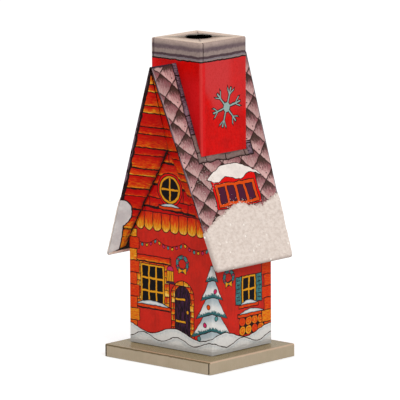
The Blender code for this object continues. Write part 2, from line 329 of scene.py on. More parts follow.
class Finish:
    # One material with its Principled shader; what is the same all over is set on the shader itself
    def __init__(self, name, **sockets):
        self.material = bpy.data.materials.new(name)
        self.material.use_nodes = True
        self.tree = self.material.node_tree
        self.shader = self.tree.nodes["Principled BSDF"]
        for key, value in sockets.items():
            self.shader.inputs[key.replace("_", " ")].default_value = value

    def feed(self, socket, wire):
        self.tree.links.new(wire.socket, self.shader.inputs[socket])

    def place(self):
        return Wire(self.tree).make("TexCoord", None, None, 3)

    def bump(self, height, strength, distance):
        values = {"Strength": strength, "Distance": distance * mm, "Height": height}
        self.feed("Normal", height.make("Bump", None, values))


class Art(Finish):
    # A print being built up on a sheet: u and v run over it in millimetres, drawn with an unsteady hand
    def __init__(self, name, wobble=0.55, sway=0.0, **sockets):
        base = {"Specular_IOR_Level": 0.05}
        super().__init__(name, **{**base, **sockets})
        self.spot = self.place()
        drawn = Wire(self.tree).make("UVMap", {"uv_map": "sheet"})
        shake = speckle(self.spot, 300.0, 2.5, 0.55, 1)
        shaken = vector("MULTIPLY_ADD", shake, (wobble * 2, wobble * 2, 0.0), drawn)
        self.point = vector("SUBTRACT", shaken, (wobble, wobble, 0.0))
        if sway:
            drift = vector("SUBTRACT", speckle(self.spot, 75.0, 1.0, 0.5, 1), (0.5, 0.5, 0.5))
            self.point = vector("MULTIPLY_ADD", drift, (sway * 2, sway * 2, 0.0), self.point)
        parts = self.point.make("SeparateXYZ", None, {0: self.point})
        self.u = parts
        self.v = parts.other(1)
        self.grain = speckle(self.spot, 1100.0, 4.0, 0.62)
        self.wash = speckle(self.spot, 130.0, 3.0, 0.6)
        self.colour = None

    def cover(self, mask, colour):
        self.colour = mix(mask, self.colour, colour)

    def fill(self, distance, colour):
        self.cover(inside(distance), colour)

    def line(self, distance, width=inkWidth):
        self.cover(along(distance, width), "ink")

    def shape(self, distance, colour, width=inkWidth):
        self.fill(distance, colour)
        self.line(distance, width)

    def inkIn(self, region, mask):
        # Ink where the mask is, but only within the region
        self.cover(inside(region) * mask, "ink")

    def off(self, midU, midV):
        return vector("SUBTRACT", self.point, (midU, midV, 0.0))

    def box(self, midU, midV, width, height):
        half = (width / 2, height / 2, 0.0)
        reach = vector("SUBTRACT", vector("ABSOLUTE", self.off(midU, midV)), half)
        sides = reach.make("SeparateXYZ", None, {0: reach})
        return most(sides, sides.other(1))

    def disc(self, midU, midV, radius):
        return vector("DISTANCE", self.point, (midU, midV, 0.0), out=1) - radius

    def streaks(self, perU, perV):
        # Brush strokes: how many to the millimetre across u and v
        flat = vector("MULTIPLY", self.point, (perU, perV, 0.0))
        return speckle(flat, 1.0, 3.0, 0.62)

    def lacquer(self, gloss=0.24):
        self.feed("Base Color", shade(self.colour, 0.76 + self.wash * 0.2 + self.grain * 0.26))
        self.feed("Roughness", gloss + self.grain * 0.16)
        self.bump(self.wash + self.grain * 0.06, 0.3, 0.15)
        return self.material


# Printed motifs, all of them plain stock ornament

def layRed(art, light="wallRed", deep="wallDeep"):
    cloudy = ease(art.wash + (art.streaks(0.9, 0.25) - 0.5) * 0.5, 0.3, 0.7)
    art.colour = mix(cloudy, light, deep)


def boardColour(heat):
    # Painted timber: fire red turning through orange to yellow as heat goes from 0 to 1
    stops = ((0.0, "deepRed"), (0.30, "fire"), (0.60, "orange"),
             (0.88, "yellow"), (1.0, "straw"))
    return heat.make("ValToRGB", {"stops": stops}, {0: heat})


def boards(art, course, pitch, perU, perV, joint=0.0):
    # Lying boards of uneven height, red above and yellow below, with dark ragged laps
    course = course + wave(course, 0.61) * 0.9
    row = course / pitch
    pick = chance(whole(row), 3.0)
    strokes = art.streaks(perU, perV)
    heat = (1 - fraction(row)) * 0.80 + (strokes - 0.5) * 1.5 + (pick - 0.5) * 0.5 - 0.10
    lap = along(repeat(course, pitch, pitch / 2) + (strokes - 0.5) * 0.8, 0.70)
    if joint:
        lap = most(lap, along(repeat(art.u + pick * joint, joint), 0.42))
    return mix(lap, boardColour(heat), "ink")


def layBricks(art, region, width, height):
    row = whole(art.v / height)
    shifted = art.u + fraction(row * 0.5) * width
    inU = repeat(shifted, width)
    inV = repeat(art.v, height)
    pick = chance(whole(shifted / width), row)
    body = boardColour(pick * 0.5 + art.grain * 0.9 + inV * -0.14 + 0.02)
    joint = most(abs(inU) - width / 2, abs(inV) - height / 2) + 0.17
    art.cover(inside(region), mix(inside(joint), "ink", body))
    art.line(region)


def layWindow(art, midU, midV, width, height, columns, rows, bar=1.1, timber="yellow", glass="pane"):
    frameBox = art.box(midU, midV, width, height)
    art.shape(frameBox, timber)
    cellU = (width - bar) / columns
    cellV = (height - bar) / rows
    inU = repeat(art.u, cellU, midU - (width - bar) / 2)
    inV = repeat(art.v, cellV, midV - (height - bar) / 2)
    pane = most(abs(inU) - (cellU - bar) / 2, abs(inV) - (cellV - bar) / 2)
    pane = most(pane, frameBox + bar / 2)
    low = ease(art.v + art.grain * 5.0, midV - height * 0.22, midV - height / 2)
    art.shape(pane, mix(low, glass, "plum"), 0.32)


def laySill(art, midU, top, width, snowDepth):
    # A lipped board with a low heap of snow on it
    art.shape(art.box(midU, top - 0.9, width, 1.8), boardColour(art.streaks(0.5, 2.0)))
    across = (art.u - midU) / (width / 2 - 0.6)
    heap = most(art.v - (top - 0.3 + snowDepth) + across * across * snowDepth, top - 0.3 - art.v)
    art.shape(heap, mix(ease(heap, -0.9, -0.1), "snow", "snowShade"), fineInk)


def layCasement(art, window, cells, sill, surround=None):
    # A lattice window over a snowed-up sill, with brickwork round it where it has any
    midU, midV, width, height = window
    if surround:
        brickwork = art.box(midU, midV, width + surround[0], height + surround[1])
        layBricks(art, brickwork, *wallArt["bricks"])
    layWindow(art, midU, midV, width, height, *cells)
    lift, wider, depth = sill
    laySill(art, midU, midV - height / 2 + lift, width + wider, depth)


def layShutters(art, midU, midV, width, height, leaf):
    # Both leaves at once, by folding the drawing over its middle
    across = abs(art.u - midU) - (width / 2 + leaf / 2 + 0.2)
    up = art.v - midV
    body = most(abs(across) - leaf / 2, abs(up) - height / 2)
    art.shape(body, mix(ease(art.grain, 0.35, 0.7), "darkTeal", "teal"))
    slatPitch, border = 1.75, 0.75
    art.inkIn(body + border, along(repeat(up, slatPitch), fineInk))


def layFir(art, midU, base, height, halfWidth, tiers=4, balls=()):
    # Drooping tiers: each starts wide at its lower edge and narrows upwards, snow on top and green below
    across = abs(art.u - midU)
    sag = art.v - base + across * 0.34 - 1.2
    tier = sag / (height / tiers)
    step = fraction(tier)
    reach = (1.06 - sag / height) * halfWidth * (1 - step * 0.46)
    region = most(most((across - reach) * 0.86, -1 * sag), art.v - base - height)
    art.shape(art.box(midU, base - 0.5, halfWidth * 0.3, 3.6), "orange", fineInk)
    snowy = mix(ease(step + art.grain * 0.5, 0.62, 1.15), "snow", "snowShade")
    needles = ease(step + (art.grain - 0.5) * 0.5, 0.26, 0.16)
    art.shape(region, mix(needles, snowy, "darkTeal"))
    art.inkIn(region, along(repeat(sag, height / tiers, height / tiers / 2)))
    ballRadius = 1.05
    for offset, rise, name in balls:
        art.shape(art.disc(midU + offset, base + rise, ballRadius), name, 0.32)


def layQuoins(art, edgeU, inwards, low, high, size=5.4):
    # Corner stones, every second one longer
    row = whole(art.v / size)
    reach = (art.u - edgeU) * inwards
    block = most(reach - 4.6 - fraction(row * 0.5) * 3.0, most(low - art.v, art.v - high))
    body = boardColour(art.streaks(0.5, 2.2) + (chance(row, 7.0) - 0.5) * 0.5 + 0.12)
    art.shape(block, body)
    art.inkIn(block, along(repeat(art.v, size, size / 2)))


def laySnowGround(art, height, swell):
    # Two wavy drifts, one behind the other, each shaded under its crest
    far = art.v - (height + 3.4 + wave(art.u, 0.21, 1.1) * swell * 1.3)
    near = art.v - (height + wave(art.u, 0.31, 0.4) * swell)
    for drift in (far, near):
        body = mix(ease(drift * -1 + art.grain * 2.4, 3.6, 0.4), "snow", "snowShade")
        art.shape(drift, mix(ease(drift * -1, 0.2, 1.1), "snow", body))
    art.cover(ease(art.v + (art.streaks(0.2, 1.6) - 0.5) * 4.0, 9.4, 6.6) * 0.6, "footShade")


def layLights(art, top, sag, span, pitch=2.6):
    # A hung wire between hooks, with small coloured bulbs under it
    share = fraction(art.u / span + 0.5) - 0.5
    wireV = share * share * (sag * 4) + (top - sag)
    art.line(art.v - wireV, thinInk)
    drop, radius = 0.95, 0.72
    bulb = vector("LENGTH", pair(repeat(art.u, pitch), art.v - wireV + drop), out=1) - radius
    order = fraction(whole(art.u / pitch) * 0.34 + 0.1)
    stops = ((0.0, "yellow"), (0.34, "magenta"), (0.67, "teal"))
    hue = order.make("ValToRGB", {"stops": stops}, {0: order})
    hue.socket.node.color_ramp.interpolation = "CONSTANT"
    art.shape(bulb, hue, thinInk)


def layWreath(art, midU, midV, radius):
    # A ring of green needles with round berries and a bow of two leaves at its foot
    ragged = (art.grain - 0.5) * 1.4
    ring = abs(art.disc(midU, midV, radius)) - 0.85
    needles = mix(ease(art.grain, 0.4, 0.62), "darkTeal", "teal")
    art.shape(ring + ragged, needles, fineInk)
    for degrees in range(20, 380, 60):
        turn = math.radians(degrees)
        berry = art.disc(midU + radius * math.cos(turn), midV + radius * math.sin(turn), 0.5)
        art.shape(berry, "magenta", 0.24)
    across = abs(art.u - midU)
    bow = most(across - 2.2, abs(art.v - midV + radius) - across * 0.55 - 0.25)
    art.shape(bow, "yellow", thinInk)


def layLogs(art, midU, midV, width, height, size=4.1):
    # Round log ends in straight stacks, with snow on the topmost
    stack = art.box(midU, midV, width, height)
    art.fill(stack, "ink")
    fromU, fromV = midU - width / 2, midV - height / 2
    ring = vector("LENGTH", pair(repeat(art.u, size, fromU), repeat(art.v, size, fromV)), out=1)
    log = most(ring - size * 0.47, stack)
    pick = chance(whole((art.u - fromU) / size), whole((art.v - fromV) / size))
    art.fill(log, boardColour(art.grain * 0.9 + pick * 0.4))
    art.cover(inside(stack) * along(ring - size * 0.24, 0.28), "fire")
    laySill(art, midU, midV + height / 2 + 1.5, width + 1.6, 2.0)


def layGable(art, low, planks):
    # Lying boards from a height upwards
    pitch, length, lean = planks
    art.fill(low - art.v, boards(art, art.v + art.u * lean, pitch, 0.35, 1.4, length))


# What the walls share, across and up from the middle of the front. A window's trim gives its panes
# across and up, its sill's rise, extra width and snow, and the extra width and height of its brickwork.
wallArt = {
    "lights": (54.6, 2.6, 16.4),  # top of the hung wire, its sag, from hook to hook
    "bricks": (4.2, 2.9),
    "stonesFrom": 12.0,
    "ground": (10.0, 1.4),     # the snow's height and swell
}
frontArt = {
    "planks": (5.2, 23.0, 0.05),  # boards in the gable: height, length and lean
    "band": (58.0, 66.5, 5.2),  # rounded board ends: lowest, highest, pitch
    "porthole": (0.0, 77.5, 7.4),
    "window": (-10.8, 33.4, 14.4, 18.6),
    "windowTrim": ((3, 3), (0.4, 7.6, 2.1), (5.8, 3.4)),
    "lintel": (2.4, 8.0, 2.6),  # how far over the window, how much wider, its height
    "door": (7.2, 30.5, 4.6),
    "doorBricks": (3.1, 2.7),
    "hinges": (19.0, 29.0),
    "wreath": (7.2, 45.0, 3.1),
    "lantern": (-0.2, 38.6),
    "stonesTo": 57.6,
}
# the tree on the front corner, drawn on both its walls: foot, height, half width, tiers, balls
cornerTree = (8.2, 38.0, 15.0, 5, ((-4.4, 11.0, "magenta"), (-2.2, 19.4, "orange"), (-8.0, 4.6, "teal"),
                                   (2.4, 14.2, "teal"), (7.4, 5.6, "orange"), (2.0, 26.4, "magenta")))


def frontPrint():
    art = Art("front_print_lacquered")
    layRed(art)
    layLights(art, *wallArt["lights"])
    # lying boards in the gable, and a band of rounded board ends under them
    low, high, pitch = frontArt["band"]
    layGable(art, high, frontArt["planks"])
    inU = repeat(art.u, pitch)
    ends = vector("LENGTH", pair(inU, art.v - low - pitch / 2), out=1) - pitch / 2
    board = most(least(ends, low + pitch / 2 - art.v), art.v - high)
    heat = art.streaks(1.9, 0.3) * 1.1 + (high - art.v) * 0.085 - 0.28
    art.shape(board, boardColour(heat))
    art.inkIn(board, along(repeat(art.u, pitch, pitch / 2)))
    # round window with a sill
    midU, midV, radius = frontArt["porthole"]
    rings = ((0.0, "red", inkWidth), (1.1, "yellow", inkWidth), (2.4, "pane", fineInk))
    for inset, paint, width in rings:
        art.shape(art.disc(midU, midV, radius - inset), paint, width)
    bar, length = 1.1, radius * 2 - 4.4
    art.shape(least(art.box(midU, midV, bar, length), art.box(midU, midV, length, bar)), "yellow", 0.26)
    laySill(art, midU, midV - radius, 13.6, 1.5)
    layCasement(art, frontArt["window"], *frontArt["windowTrim"])
    midU, midV, width, height = frontArt["window"]
    over, wider, thick = frontArt["lintel"]
    over += midV + height / 2
    warm = boardColour(art.streaks(0.4, 1.8) + (over - art.v) * 0.2)
    art.shape(art.box(midU, over, width + wider, thick), warm)
    # arched plank door in a brick arch
    midU, springV, radius = frontArt["door"]
    arch, door = (least(art.box(midU, springV / 2, reach * 2, springV), art.disc(midU, springV, reach))
                  for reach in (radius + 2.2, radius))
    layBricks(art, arch, *frontArt["doorBricks"])
    art.shape(door, mix(ease(art.streaks(2.0, 0.3), 0.4, 0.6), "plum", "pane"))
    art.inkIn(door, along(repeat(art.u, radius / 2, midU)))
    for hinge in frontArt["hinges"]:
        art.shape(art.box(midU - 1.3, hinge, 6.0, 1.1), "yellow", thinInk)
    art.shape(art.disc(midU + 2.9, 23.6, 0.8), "yellow", thinInk)
    layWreath(art, *frontArt["wreath"])
    # hanging lantern: its wire, cap, four panes and foot
    midU, midV = frontArt["lantern"]
    art.line(most(abs(art.u - midU), abs(art.v - midV - 6.2) - 2.4), fineInk)
    art.shape(art.disc(midU, midV + 2.7, 1.9), "magenta", fineInk)
    art.shape(art.box(midU, midV, 4.0, 4.8), "yellow", 0.36)
    art.line(art.box(midU, midV, 1.2, 4.8), thinInk)
    art.shape(art.box(midU, midV - 2.8, 4.8, 1.0), "plum", thinInk)
    layFir(art, house["cornerU"], *cornerTree)
    layQuoins(art, -house["cornerU"], 1, wallArt["stonesFrom"], frontArt["stonesTo"])
    laySnowGround(art, *wallArt["ground"])
    return art.lacquer()


# on the side walls, places across are measured from the middle of the wall
sideTrim = ((2, 2), (0.0, 3.4, 1.9))
rightArt = {
    "window": (4.6, 32.6, 9.4, 12.6),
    "leaf": 3.8,
    "stonesTo": 66.0,
    "wreath": (-8.6, 39.6, 2.9),
    "logs": (6.4, 16.4, 16.4, 8.2),
    "firs": ((house["cornerU"] - house["sideU"], *cornerTree),),
    "quoins": (19.3, -1),
}
leftArt = {
    "window": (-3.6, 32.6, 9.4, 12.6),
    "leaf": 3.8,
    "stonesTo": 66.0,
    "wreath": (10.4, 38.4, 2.6),
    "logs": (-7.0, 16.4, 12.3, 8.2),
    "firs": ((9.4, 9.0, 24.0, 7.8),),
    "quoins": (-19.3, 1),
}


def sidePrint(name, plan, centre):
    art = Art(name)
    layRed(art)
    layLights(art, *wallArt["lights"])
    midU, *rest = plan["window"]
    window = (centre + midU, *rest)
    layShutters(art, *window, plan["leaf"])
    layCasement(art, window, *sideTrim)
    midU, midV, radius = plan["wreath"]
    layWreath(art, centre + midU, midV, radius)
    midU, midV, width, height = plan["logs"]
    layLogs(art, centre + midU, midV, width, height)
    for midU, *tree in plan["firs"]:
        layFir(art, centre + midU, *tree)
    edgeU, inwards = plan["quoins"]
    layQuoins(art, centre + edgeU, inwards, wallArt["stonesFrom"], plan["stonesTo"])
    laySnowGround(art, *wallArt["ground"])
    return art.lacquer()


backArt = {
    "planks": (5.2, 21.0, -0.04),
    "gable": 62.0,
    "window": (0.0, 43.0, 11.8, 14.4),
    "windowTrim": ((2, 3), (0.0, 5.0, 1.9), (5.4, 4.6)),
    "fir": (-16.0, 8.6, 27.0, 8.0),
    "quoins": (24.3, -1),
    "stonesTo": 61.6,
    "ground": (9.4, 1.2),
}


def backPrint():
    art = Art("back_wall_print_lacquered")
    layRed(art)
    layGable(art, backArt["gable"], backArt["planks"])
    art.line(art.v - backArt["gable"], 0.6)
    layCasement(art, backArt["window"], *backArt["windowTrim"])
    layFir(art, *backArt["fir"])
    layQuoins(art, *backArt["quoins"], wallArt["stonesFrom"], backArt["stonesTo"])
    laySnowGround(art, *backArt["ground"])
    return art.lacquer()


slates = {
    "width": 12.13,
    "height": 10.8,
    "tip": (-27.6, 8.9),      # one slate's lower tip: along the eaves, up the slope
    "flashing": 3.0,          # width of the border round the chimney
    "darkFrom": 61.6,         # how far up the slope the side borders turn dark
    "block": (12.5, -12.9),   # length of the blocks below the chimney, where one begins
    "sideBlock": 8.8,         # length of the blocks beside the chimney
    "hatch": (-1.0, 33.0, 26.0, 11.0),
    "hatchBar": 1.7,
    "heap": (4.4, 7.4, 6.4),  # snow on the hatch: its overhang, its height, the drop to its ends
}


def slatePrint():
    # Diamond slates dark under the course above, a border round the chimney and a snowed-up roof hatch
    art = Art("slate_print_lacquered", 0.75, 1.3)
    tipU, tipV = slates["tip"]
    across = (art.u - tipU) / slates["width"]
    up = (art.v - tipV) / slates["height"]
    left = across + up
    right = up - across
    inLeft = fraction(left)
    inRight = fraction(right)
    pick = chance(whole(left), whole(right))
    rise = (inLeft + inRight) * 0.5
    bristles = (art.streaks(3.0, 0.4) - 0.5) * 0.7
    mottle = (art.grain - 0.5) * 0.7
    top = ease(rise + bristles * 1.2 + mottle * 0.4 + (pick - 0.5) * 0.16, 0.50, 0.82)
    face = ease(rise * 0.9 + (inRight - inLeft) * 0.25 + mottle + bristles * 1.1, 0.12, 0.66)
    body = mix(face, "slateLight", "slateMid")
    body = mix(ease(art.streaks(1.5, 0.22) + mottle * 0.2, 0.50, 0.64) * 0.5, body, "rosy")
    body = mix(top, body, "slateDark")
    art.colour = shade(body, 0.80 + pick * 0.30)
    spacing = 1 / math.hypot(1 / slates["width"], 1 / slates["height"])
    edge = least(least(inLeft, inRight), least(1 - inLeft, 1 - inRight)) * spacing
    art.cover(along(edge + mottle * 0.2, 0.62) * 0.86, "slateInk")
    nail = vector("LENGTH", pair((inLeft - 0.2) * spacing, (inRight - 0.32) * spacing), out=1) - 0.34
    art.cover(inside(nail) * (pick.calc("GREATER_THAN", pick, 0.55)), "ink")
    # painted highlight along the rakes, dark along the ridge
    toRake = art.v * roof["lean"] + roof["eavesHalfLength"] - abs(art.u)
    art.cover(ease(abs(toRake - 0.3) + mottle * 0.3, 0.6, 0.2) * 0.55, "rubbed")
    art.cover(ease(art.v + mottle * 2.0, roof["length"] - 1.3, roof["length"] - 0.7), "flashing")
    # border round the chimney, up both its sides in front but only a corner block behind
    half = roof["cutHalf"]
    flashing = slates["flashing"]
    low = roof["length"] * (1 - half / roof["eavesReach"])
    border = most(abs(art.u) - half - flashing, low - flashing - art.v)
    border = most(border, least(-1 * art.u, art.v - low - flashing))
    length, start = slates["block"]
    strokes = art.streaks(0.5, 2.4)
    pale = mix(ease(strokes, 0.3, 0.7), "86746E", "6A4C4A")
    dark = mix(ease(strokes + (art.wash - 0.5) * 0.6, 0.3, 0.66), "flashing", "flashingLight")
    side = inside(low - art.v)
    high = most(inside(slates["darkFrom"] - art.v), inside(art.u + half))
    body = mix(high, pale, dark)
    rim = abs(most(abs(art.u) - half - flashing / 2, low - flashing / 2 - art.v))
    shadow = ease(rim + strokes * 0.4, 1.5, 0.8) * 0.5 + 0.45
    body = shade(body, shadow * (0.7 + strokes * 0.9))
    art.shape(border, body, 0.5)
    sideBlock = slates["sideBlock"]
    joints = mix(side, along(repeat(art.u, length, start - length / 2), 0.6),
                 along(repeat(art.v, sideBlock, slates["darkFrom"] - sideBlock / 2), 0.6))
    art.inkIn(border, joints)
    # roof hatch: four lights in a frame under a heap of snow
    midU, midV, width, height = slates["hatch"]
    art.shape(art.box(midU, midV + 1.2, width + 3.0, height + 5.0), "red")
    layWindow(art, midU, midV - 0.6, width, height, 4, 1, slates["hatchBar"], "orange", "4A1830")
    overhang, rise, droop = slates["heap"]
    across = (art.u - midU) / (width / 2 + overhang)
    base = wave(art.u, 0.42, 0.6) * 0.9 + (midV + height / 2 + 1.0)
    heap = most(art.v - midV - height / 2 - rise + across * across * droop, base - art.v)
    art.shape(heap, mix(ease(art.wash, 0.4, 0.7), "F0E5DD", "DDD2CB"), fineInk)
    return art.lacquer()


soffit = {
    "pitch": 5.05,
    "edge": 1.5,              # dark band along the rake fold
    "yellowBelow": (57.0, 51.0),
    "patchesBelow": (124.0, 96.0),
    "snowTop": (0.6, 61.8, 5.6),
    "snowBand": (4.3, 46.0),  # width of the snow's lower part, and the height where it is that wide
    "plainShift": 100.0,      # added across the print at the sheet's end that has no printed snow
}


def soffitPlace(point, plain=0.0):
    # Where a point of the soffit lies on its print: away from the rake fold, and up with the boards
    rake = roof["ridgeEnd"] - roof["eavesCorner"]
    way = rake / np.linalg.norm(rake)
    reach = np.abs(point) - roof["eavesCorner"]
    away = reach - (reach @ way)[..., None] * way
    return np.stack([np.linalg.norm(away, axis=-1) + plain * soffit["plainShift"],
                     point[..., 2] - roof["courseLean"] * np.abs(point[..., 0])], axis=-1)


def soffitPrint():
    # Lying boards, a dark band on the rake fold, printed snow at one end and a dark free edge
    art = Art("soffit_print_lacquered", 0.6)
    plain = art.u.calc("GREATER_THAN", art.u, soffit["plainShift"] / 2)
    reach = art.u - plain * soffit["plainShift"]
    art.colour = shade(boards(art, art.v, soffit["pitch"], 0.4, 1.5), art.wash * 0.3 + 0.78)
    strokes = art.streaks(0.9, 0.5)
    patches = ease(art.streaks(0.7, 0.16), 0.46, 0.56)
    art.cover(ease(art.v, *soffit["yellowBelow"]) * ease(strokes, 0.3, 0.6) * 0.6, "yellow")
    art.fill(reach - soffit["edge"] + (strokes - 0.5) * 0.4, "ink")
    # pale patches in the dark band, more of them lower down
    patchAmount = ease(art.v, *soffit["patchesBelow"]) * 0.45 + 0.25
    art.cover(inside(reach - soffit["edge"] / 2) * patches * patchAmount, "flashingLight")
    # painted shade along the free edge, and a dark line where it meets the wall, partly printed outline
    # and partly painted shadow of the gap
    foot = soffitPlace(roof["soffitFoot"])
    meeting = soffitPlace(roof["soffitMeeting"])
    slant = (meeting[0] - foot[0]) / (meeting[1] - foot[1])
    toEdge = (art.v - foot[1]) * slant + foot[0] - reach + (strokes - 0.5) * 1.6
    art.cover(ease(toEdge, 2.4, 0.6) * (0.5 - plain * 0.25), "ink")
    aboveFoot = ease(art.v, foot[1] + 1.0, foot[1] + 5.0)
    art.cover(inside(toEdge - 0.7) * (1 - plain) * aboveFoot, "ink")
    midU, midV, radius = soffit["snowTop"]
    bulge = vector("LENGTH", pair(reach - midU, (art.v - midV) * 0.80), out=1) - radius
    width, widest = soffit["snowBand"]
    band = most(reach - width + (art.v - widest) * 0.06, art.v - midV)
    snowy = least(bulge, band) + plain * (soffit["plainShift"] / 2)
    art.shape(snowy, mix(ease(art.wash, 0.35, 0.75), "warmSnow", "snow"), 0.5)
    return art.lacquer()


chimneyArt = {
    "flake": (1.8, 113.4, 9.2),  # middle and reach
    "turn": 12,              # of the flake, in degrees
    "arm": (0.55, 2.4, 2.3),  # half width of an arm, reach of its barbs sideways, radius of the hub
    "paleFrom": (107.5, 117.0),
    "coolBelow": (133.0, 122.0),
    "foldHighlight": 2.8,        # width of the painted highlight beside each fold
    # the cap, by depth below the top: where it ends, its dark course, dark line and light strip
    "band": 8.3,
    "courses": (3.0, 6.4, 7.3),
}
flapMap = {"start": 1.0, "length": 12.0}  # how the flaps go on above the chimney's top on its print


def chimneyPrint(top, quarter):
    # Red sides, a stone cap with uneven courses round the top, a six-armed flake left and right
    art = Art("chimney_print_lacquered", 0.5)
    layRed(art, "red", "deepRed")
    corner = repeat(art.u, quarter)
    side = repeat(art.u, quarter * 2)
    half = quarter / 2
    # left and right pale towards the cap, front and back are a cooler red lower down
    sideways = ease(abs(side), half + 0.2, half - 0.2)
    lower = art.v + (art.wash - 0.5) * 6.0 - ease(side, half * -0.3, half * -0.9) * 11.0
    paleCloud = sideways * ease(lower, *chimneyArt["paleFrom"])
    paleCloud = paleCloud * (1 - ease(side, half * 0.1, half * 0.5) * 0.5)
    art.cover(paleCloud * 0.8, "C9393A")
    art.cover((1 - sideways) * ease(art.v, *chimneyArt["coolBelow"]) * 0.75, "DC1B20")
    # painted highlights: a brighter strip beside each fold, and a rosy one on the bend of every second
    # fold
    width = chimneyArt["foldHighlight"]
    art.cover(ease(corner, width, width - 0.4) * ease(corner, 0.5, 0.9) * 0.8, "D81519")
    art.cover(ease(abs(side + half), 1.1, 0.7) * 0.85, "D03331")
    midU, midV, reach = chimneyArt["flake"]
    across = side - midU
    up = art.v - midV
    armHalf, barbReach, hubRadius = chimneyArt["arm"]
    star = vector("LENGTH", pair(across, up), out=1) - hubRadius
    for degrees in (0, 60, 120):
        # two opposite arms, each with slanting barbs
        angle = math.radians(degrees + chimneyArt["turn"])
        run = abs(across * math.cos(angle) + up * math.sin(angle))
        off = abs(up * math.cos(angle) - across * math.sin(angle))
        barb = most(abs(run * 0.8 - off - reach * 0.5) - 0.5, off - barbReach)
        star = least(star, least(most(off - armHalf, run - reach), barb))
    art.shape(star, "ice", 0.46)
    # the cap: pale at the top fold as a painted highlight, dark wavy course, grey, dark line, light
    # strip, ink
    dark, line, light = chimneyArt["courses"]
    wave = (art.streaks(0.12, 0.02) - 0.5) * 0.9
    depth = top - 0.4 - art.v + wave
    strokes = (art.streaks(0.35, 3.0) - 0.5) * 0.8
    grit = (art.grain - 0.5) * 1.6
    stone = mix(ease(depth + strokes, 0.2, 2.0), "stoneLight", "stone")
    course = ease(abs(depth - dark + strokes + grit * 0.4), 1.5, 0.3)
    stone = mix(course * (0.6 + art.wash * 0.5), stone, "stoneDark")
    stone = mix(ease(abs(depth - line + strokes * 0.5), 0.8, 0.4) * 0.9, stone, "45303A")
    stone = mix(ease(abs(depth - light), 0.42, 0.2), stone, "857A80")
    stone = shade(stone, 0.88 + grit * 0.22)
    region = depth - chimneyArt["band"]
    art.shape(region, stone, 0.62)
    art.inkIn(region, along(corner - 1.4))
    return art.lacquer(0.2)


def flapPrint(top, quarter):
    # Folded top flaps: pale at the outer fold, brown towards the hole and along the mitres
    art = Art("flap_print_lacquered", 0.5)
    share = (art.v - top - flapMap["start"]) / flapMap["length"]
    corner = abs(repeat(art.u, quarter))
    strokes = (art.streaks(1.4, 0.4) - 0.5) * 0.6
    pale = mix(ease(art.wash + strokes * 0.4, 0.3, 0.8), "E5CAB5", "CDB29F")
    brown = mix(ease(share + strokes, 0.3, 1.0), pale, "967A6A")
    # the corner narrows towards the hole as the sheet does
    mitre = ease(corner + strokes, 3.0, 0.2) * ease(share, 0.1, 0.6)
    art.colour = mix(mitre * 0.8, brown, "6A4E42")
    return art.lacquer(0.3)


def trayLacquer():
    # Warm grey-beige lacquer with fine upright hairlines, painted highlight and shade lines on its folds
    # and a top painted darker as shade
    art = Art("tray_lacquer_glossy", 0.3, Specular_IOR_Level=0.03, Coat_Roughness=0.1)
    flake = speckle(art.spot, 5200.0, 1.0, 0.5)
    hairs = speckle(vector("MULTIPLY", art.spot, (1.0, 1.0, 0.08)), 2600.0, 2.0, 0.6)
    height = art.v - trayHigh[2]
    side = mix(ease(hairs * 0.4 + art.wash * 0.6, 0.2, 0.8), "AA9B83", "B6A68F")
    # painted shade: the top is painted darker than the skirt
    flat = mix(ease(art.streaks(0.3, 1.2), 0.3, 0.7), "93825F", "A1906D")
    body = mix(ease(height, 0.2, 0.8), side, flat)
    # painted highlight and shade: the right and back folds get a pale line, the others a dark line below
    # a faint pale one
    toMiddle = abs(art.u - tray["paleMiddle"])
    pale = ease(toMiddle, tray["paleReach"] + 0.2, tray["paleReach"] - 0.2)
    faint = (1 - pale) * most(*(ease(toMiddle, *ends) for ends in tray["faintEnds"]))
    fray = (art.grain - 0.5) * 0.4
    # each line's depth below the top, how far off it ends and is full, where it runs, its strength
    # and its paint
    lines = ((0.2, 0.6, 0.24, pale, 0.8, "CDB096"), (-0.15, 0.5, 0.2, faint, 0.8, "C9A284"),
             (0.45, 0.5, 0.2, 1 - pale, 0.85, "5E5134"))
    for depth, ends, full, run, strength, paint in lines:
        body = mix(ease(abs(height + depth) + fray, ends, full) * run * strength, body, paint)
    art.feed("Base Color", mix(ease(art.grain, 0.6, 0.9) * 0.15, body, "7F745E"))
    art.feed("Roughness", 0.22 + flake * 0.1)
    art.feed("Metallic", ease(flake, 0.5, 0.8) * 0.08)
    art.feed("Coat Weight", ease(height, 0.2, 0.8) * 0.085)
    art.bump(hairs * 0.2 + art.wash, 0.12, 0.1)
    return art.material


def bareTin(name, light, dark, litBelow=0.0):
    finish = Finish(name, Metallic=1.0)
    place = finish.place()
    crystal = place.make("TexVoronoi", None, {"Vector": place, "Scale": 260.0})
    lines = speckle(vector("MULTIPLY", place, (1.0, 1.0, 0.06)), 2600.0, 3.0, 0.6)
    body = mix(lines * 0.6 + crystal * 0.3, light, dark)
    if litBelow:
        # painted light: pale near the lowest edge, where the floor lights the inside, under the dark
        # painted shade
        height = place.make("SeparateXYZ", None, {0: place}).other(2) / mm
        pale = ease(height, litBelow + 0.4, litBelow - 0.2)
        body = mix(pale, body, "FFF4E2")
        finish.feed("Metallic", 1 - pale)
    finish.feed("Base Color", body)
    finish.feed("Roughness", 0.28 + lines * 0.22)
    finish.bump(lines, 0.15, 0.03)
    return finish.material


def fibreBoard():
    finish = Finish("fibre_board_pressed", Roughness=0.88)
    place = finish.place()
    hairs = speckle(place, 1500.0, 6.0, 0.75)
    clouds = speckle(place, 160.0, 2.0, 0.5)
    finish.feed("Base Color", mix(hairs * 0.8 + clouds * 0.2, "5A4432", "8A6C50"))
    finish.bump(hairs, 0.5, 0.12)
    return finish.material


